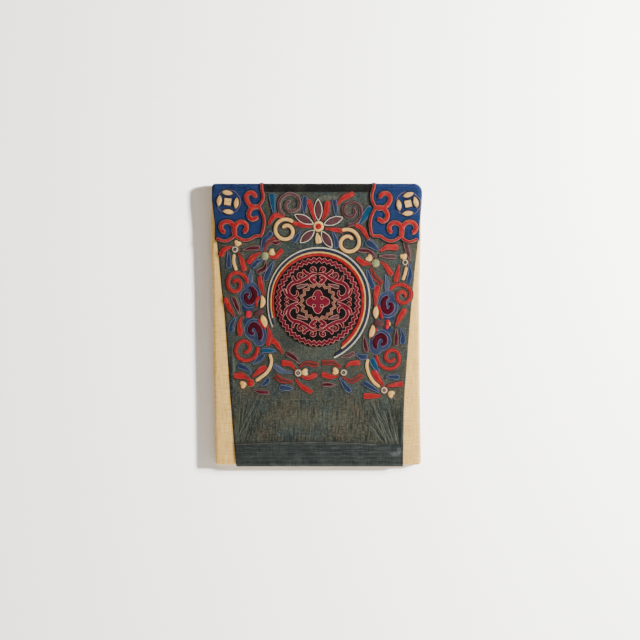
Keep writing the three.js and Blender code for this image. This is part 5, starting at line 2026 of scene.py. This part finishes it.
class PANEL_OT_stitches(PieceOperator):
    """Sews the rows of stitches along the seams and hems"""

    bl_idname = "embroidered_panel.stitches"
    bl_label = "Stitches"

    # Millimetres: where the rows along the foot's seam and up the hems start and end
    SEAM_ROW = (-206, 214)
    SEAM_POINTS = 140
    PALE_POINTS = 118
    HEM_ROW = (-340, 210)
    HEM_INSET = 3

    def make(self):
        x = np.linspace(*self.SEAM_ROW, self.SEAM_POINTS)
        rows = [(wrap(x, seam_height(x) + 1.2, PATCH[0] + 0.4), False)]
        z = np.linspace(*self.HEM_ROW, 180)
        for side, inward in (("left", self.HEM_INSET), ("right", -self.HEM_INSET)):
            rows.append((wrap(edge(side, z) + inward, z, GROUND[1] + 0.05), False))
        turn = np.linspace(RING["left_end"], RING["right_end"] + 360, 60)
        spread = np.interp(turn, turn[[0, -1]], (RING["left_spread"], RING["right_spread"]))
        open_part = ring_points(RING["radius"] - 6 + spread, np.radians(turn)) + RING["at"]
        rows.append((wrap(*open_part.T, GROUND[1] + 0.05), False))
        stitches("hem_stitches", rows, "ground", 2)
        x = x[:self.PALE_POINTS]
        pale = wrap(x, seam_height(x) - 3.5, PATCH[1] + 0.1)
        stitches("seam_stitches", [(pale, False)], "pale", 3, 0.8)


class PANEL_OT_stage(PieceOperator):
    """Sets up the floor, the backdrop, the light and the camera"""

    bl_idname = "embroidered_panel.stage"
    bl_label = "Stage"

    # Metres: what the camera looks at and from how far, and how far the stage reaches
    MIDDLE = (0.00875, -0.032, 0.0125)
    DISTANCE = 3.778
    FLOOR = -1.5
    FLOOR_REACH = 6
    BACKDROP_REACH = 4
    BACKDROP_TOP = 3.5
    BACKDROP_GAP = 0.0006

    # Millimetres: how wide the camera's sensor is
    SENSOR = 36

    def make(self):
        settings = bpy.context.scene.stage_settings
        low, out, wide = self.FLOOR, self.FLOOR_REACH, self.BACKDROP_REACH
        floor = [(x, y, low) for x, y in ((-out, -out), (out, -out), (out, out), (-out, out))]
        self.plane("stage_floor", floor, settings.floor)
        back = ((-wide, low), (wide, low), (wide, self.BACKDROP_TOP), (-wide, self.BACKDROP_TOP))
        back = [(x, self.BACKDROP_GAP, z) for x, z in back]
        backdrop = self.plane("stage_backdrop", back, settings.backdrop, self.clear_behind)
        self.area("key_light", (2.03, -1.25, 0.75), 0.27, settings.key_power)
        self.area("fill_light", (0.4, -3.6, 0.7), 2.4, settings.fill_power).data.color = (1, 0.82, 0.6)
        self.area("back_light", (0.6, 2.8, 1.4), 1.6, settings.fill_power * 6)
        side = self.area("backdrop_light", (4.2, -2.4, 0.9), 0.42, settings.backdrop_power)
        lit = bpy.data.collections.new("stage_pieces")
        lit.objects.link(backdrop)
        side.light_linking.receiver_collection = lit
        world = bpy.data.worlds.new("studio")
        world.use_nodes = True
        glow = world.node_tree.nodes["Background"].inputs
        glow["Color"].default_value = (1, 0.8, 0.6, 1)
        glow["Strength"].default_value = 0.15
        bpy.context.scene.world = world
        self.camera(settings.lens)

    def plane(self, name, corners, colour, change=None):
        """A flat sheet of the stage."""
        mesh = bpy.data.meshes.new(name)
        mesh.from_pydata(corners, [], [(0, 1, 2, 3)])
        surface = Surface(name, roughness=0.9)
        cloud = surface.noise(surface.place(), 1.5, 1)
        base = surface.layers(tuple(colour), ((cloud * 0.15, shade(colour, 0.94)),))
        surface.feed(surface.shader.inputs["Base Color"], base)
        if change:
            change(surface)
        mesh.materials.append(surface.material)
        made = linked(name, mesh)
        made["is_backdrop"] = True
        return made

    def clear_behind(self, surface):
        """Makes a sheet clear from behind, so that the board's back can be seen through it."""
        behind = Field(surface, surface.node("ShaderNodeNewGeometry").outputs["Backfacing"])
        shadow = surface.node("ShaderNodeLightPath").outputs["Is Shadow Ray"]
        mixed = surface.node("ShaderNodeMixShader", {}, {
            0: behind + Field(surface, shadow), 1: surface.shader.outputs[0],
            2: surface.node("ShaderNodeBsdfTransparent").outputs[0],
        })
        surface.feed(surface.tree.nodes["Material Output"].inputs[0], mixed.outputs[0])

    def area(self, name, place, size, power):
        """A square light that points at the middle of the board."""
        light = bpy.data.lights.new(name, "AREA")
        light.size = size
        light.energy = power
        made = linked(name, light)
        made.location = place
        made.rotation_euler = (-made.location).to_track_quat("-Z", "Y").to_euler()
        return made

    def camera(self, lens):
        data = bpy.data.cameras.new("camera")
        data.lens = lens
        data.sensor_width = self.SENSOR
        made = linked("camera", data)
        x, y, z = self.MIDDLE
        made.location = (x, y - self.DISTANCE, z)
        made.rotation_euler = (math.radians(90), 0, 0)
        bpy.context.scene.camera = made


STEPS = (
    PANEL_OT_linen_board, PANEL_OT_ground_cloth, PANEL_OT_bands, PANEL_OT_corner_patches,
    PANEL_OT_corner_trims, PANEL_OT_coins, PANEL_OT_flower, PANEL_OT_spirals, PANEL_OT_hooks,
    PANEL_OT_crescents, PANEL_OT_ring, PANEL_OT_medallion, PANEL_OT_knots, PANEL_OT_stems,
    PANEL_OT_leaves, PANEL_OT_couching, PANEL_OT_stitches, PANEL_OT_stage,
)


class PANEL_PT_embroidered_panel(bpy.types.Panel):
    """Lists the panel's pieces in the sidebar"""

    bl_idname = "PANEL_PT_embroidered_panel"
    bl_label = "Embroidered Panel"
    bl_space_type = "VIEW_3D"
    bl_region_type = "UI"
    bl_category = "Panel"

    def draw(self, context):
        for group in ("panel_sizes", "panel_colours", "stage_settings"):
            box = self.layout.box()
            settings = getattr(context.scene, group)
            for name in settings.__annotations__:
                box.prop(settings, name)
        for step in STEPS:
            self.layout.operator(step.bl_idname)


GROUPS = {
    "panel_sizes": PanelSizes, "panel_colours": PanelColours, "stage_settings": StageSettings
}


def register():
    for group in GROUPS.values():
        bpy.utils.register_class(group)
    for name, group in GROUPS.items():
        setattr(bpy.types.Scene, name, PointerProperty(type=group))
    for step in STEPS:
        bpy.utils.register_class(step)
    bpy.utils.register_class(PANEL_PT_embroidered_panel)


def unregister():
    bpy.utils.unregister_class(PANEL_PT_embroidered_panel)
    for step in reversed(STEPS):
        bpy.utils.unregister_class(step)
    for name in GROUPS:
        delattr(bpy.types.Scene, name)
    for group in GROUPS.values():
        bpy.utils.unregister_class(group)


def main():
    register()
    for step in STEPS:
        getattr(bpy.ops.embroidered_panel, step.bl_idname.split(".")[1])()
    boxes = {"cad": CAD_BOX, "visual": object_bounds()}
    {name: [list(corner) for corner in box] for name, box in boxes.items()}


if __name__ == "__main__":
    main()
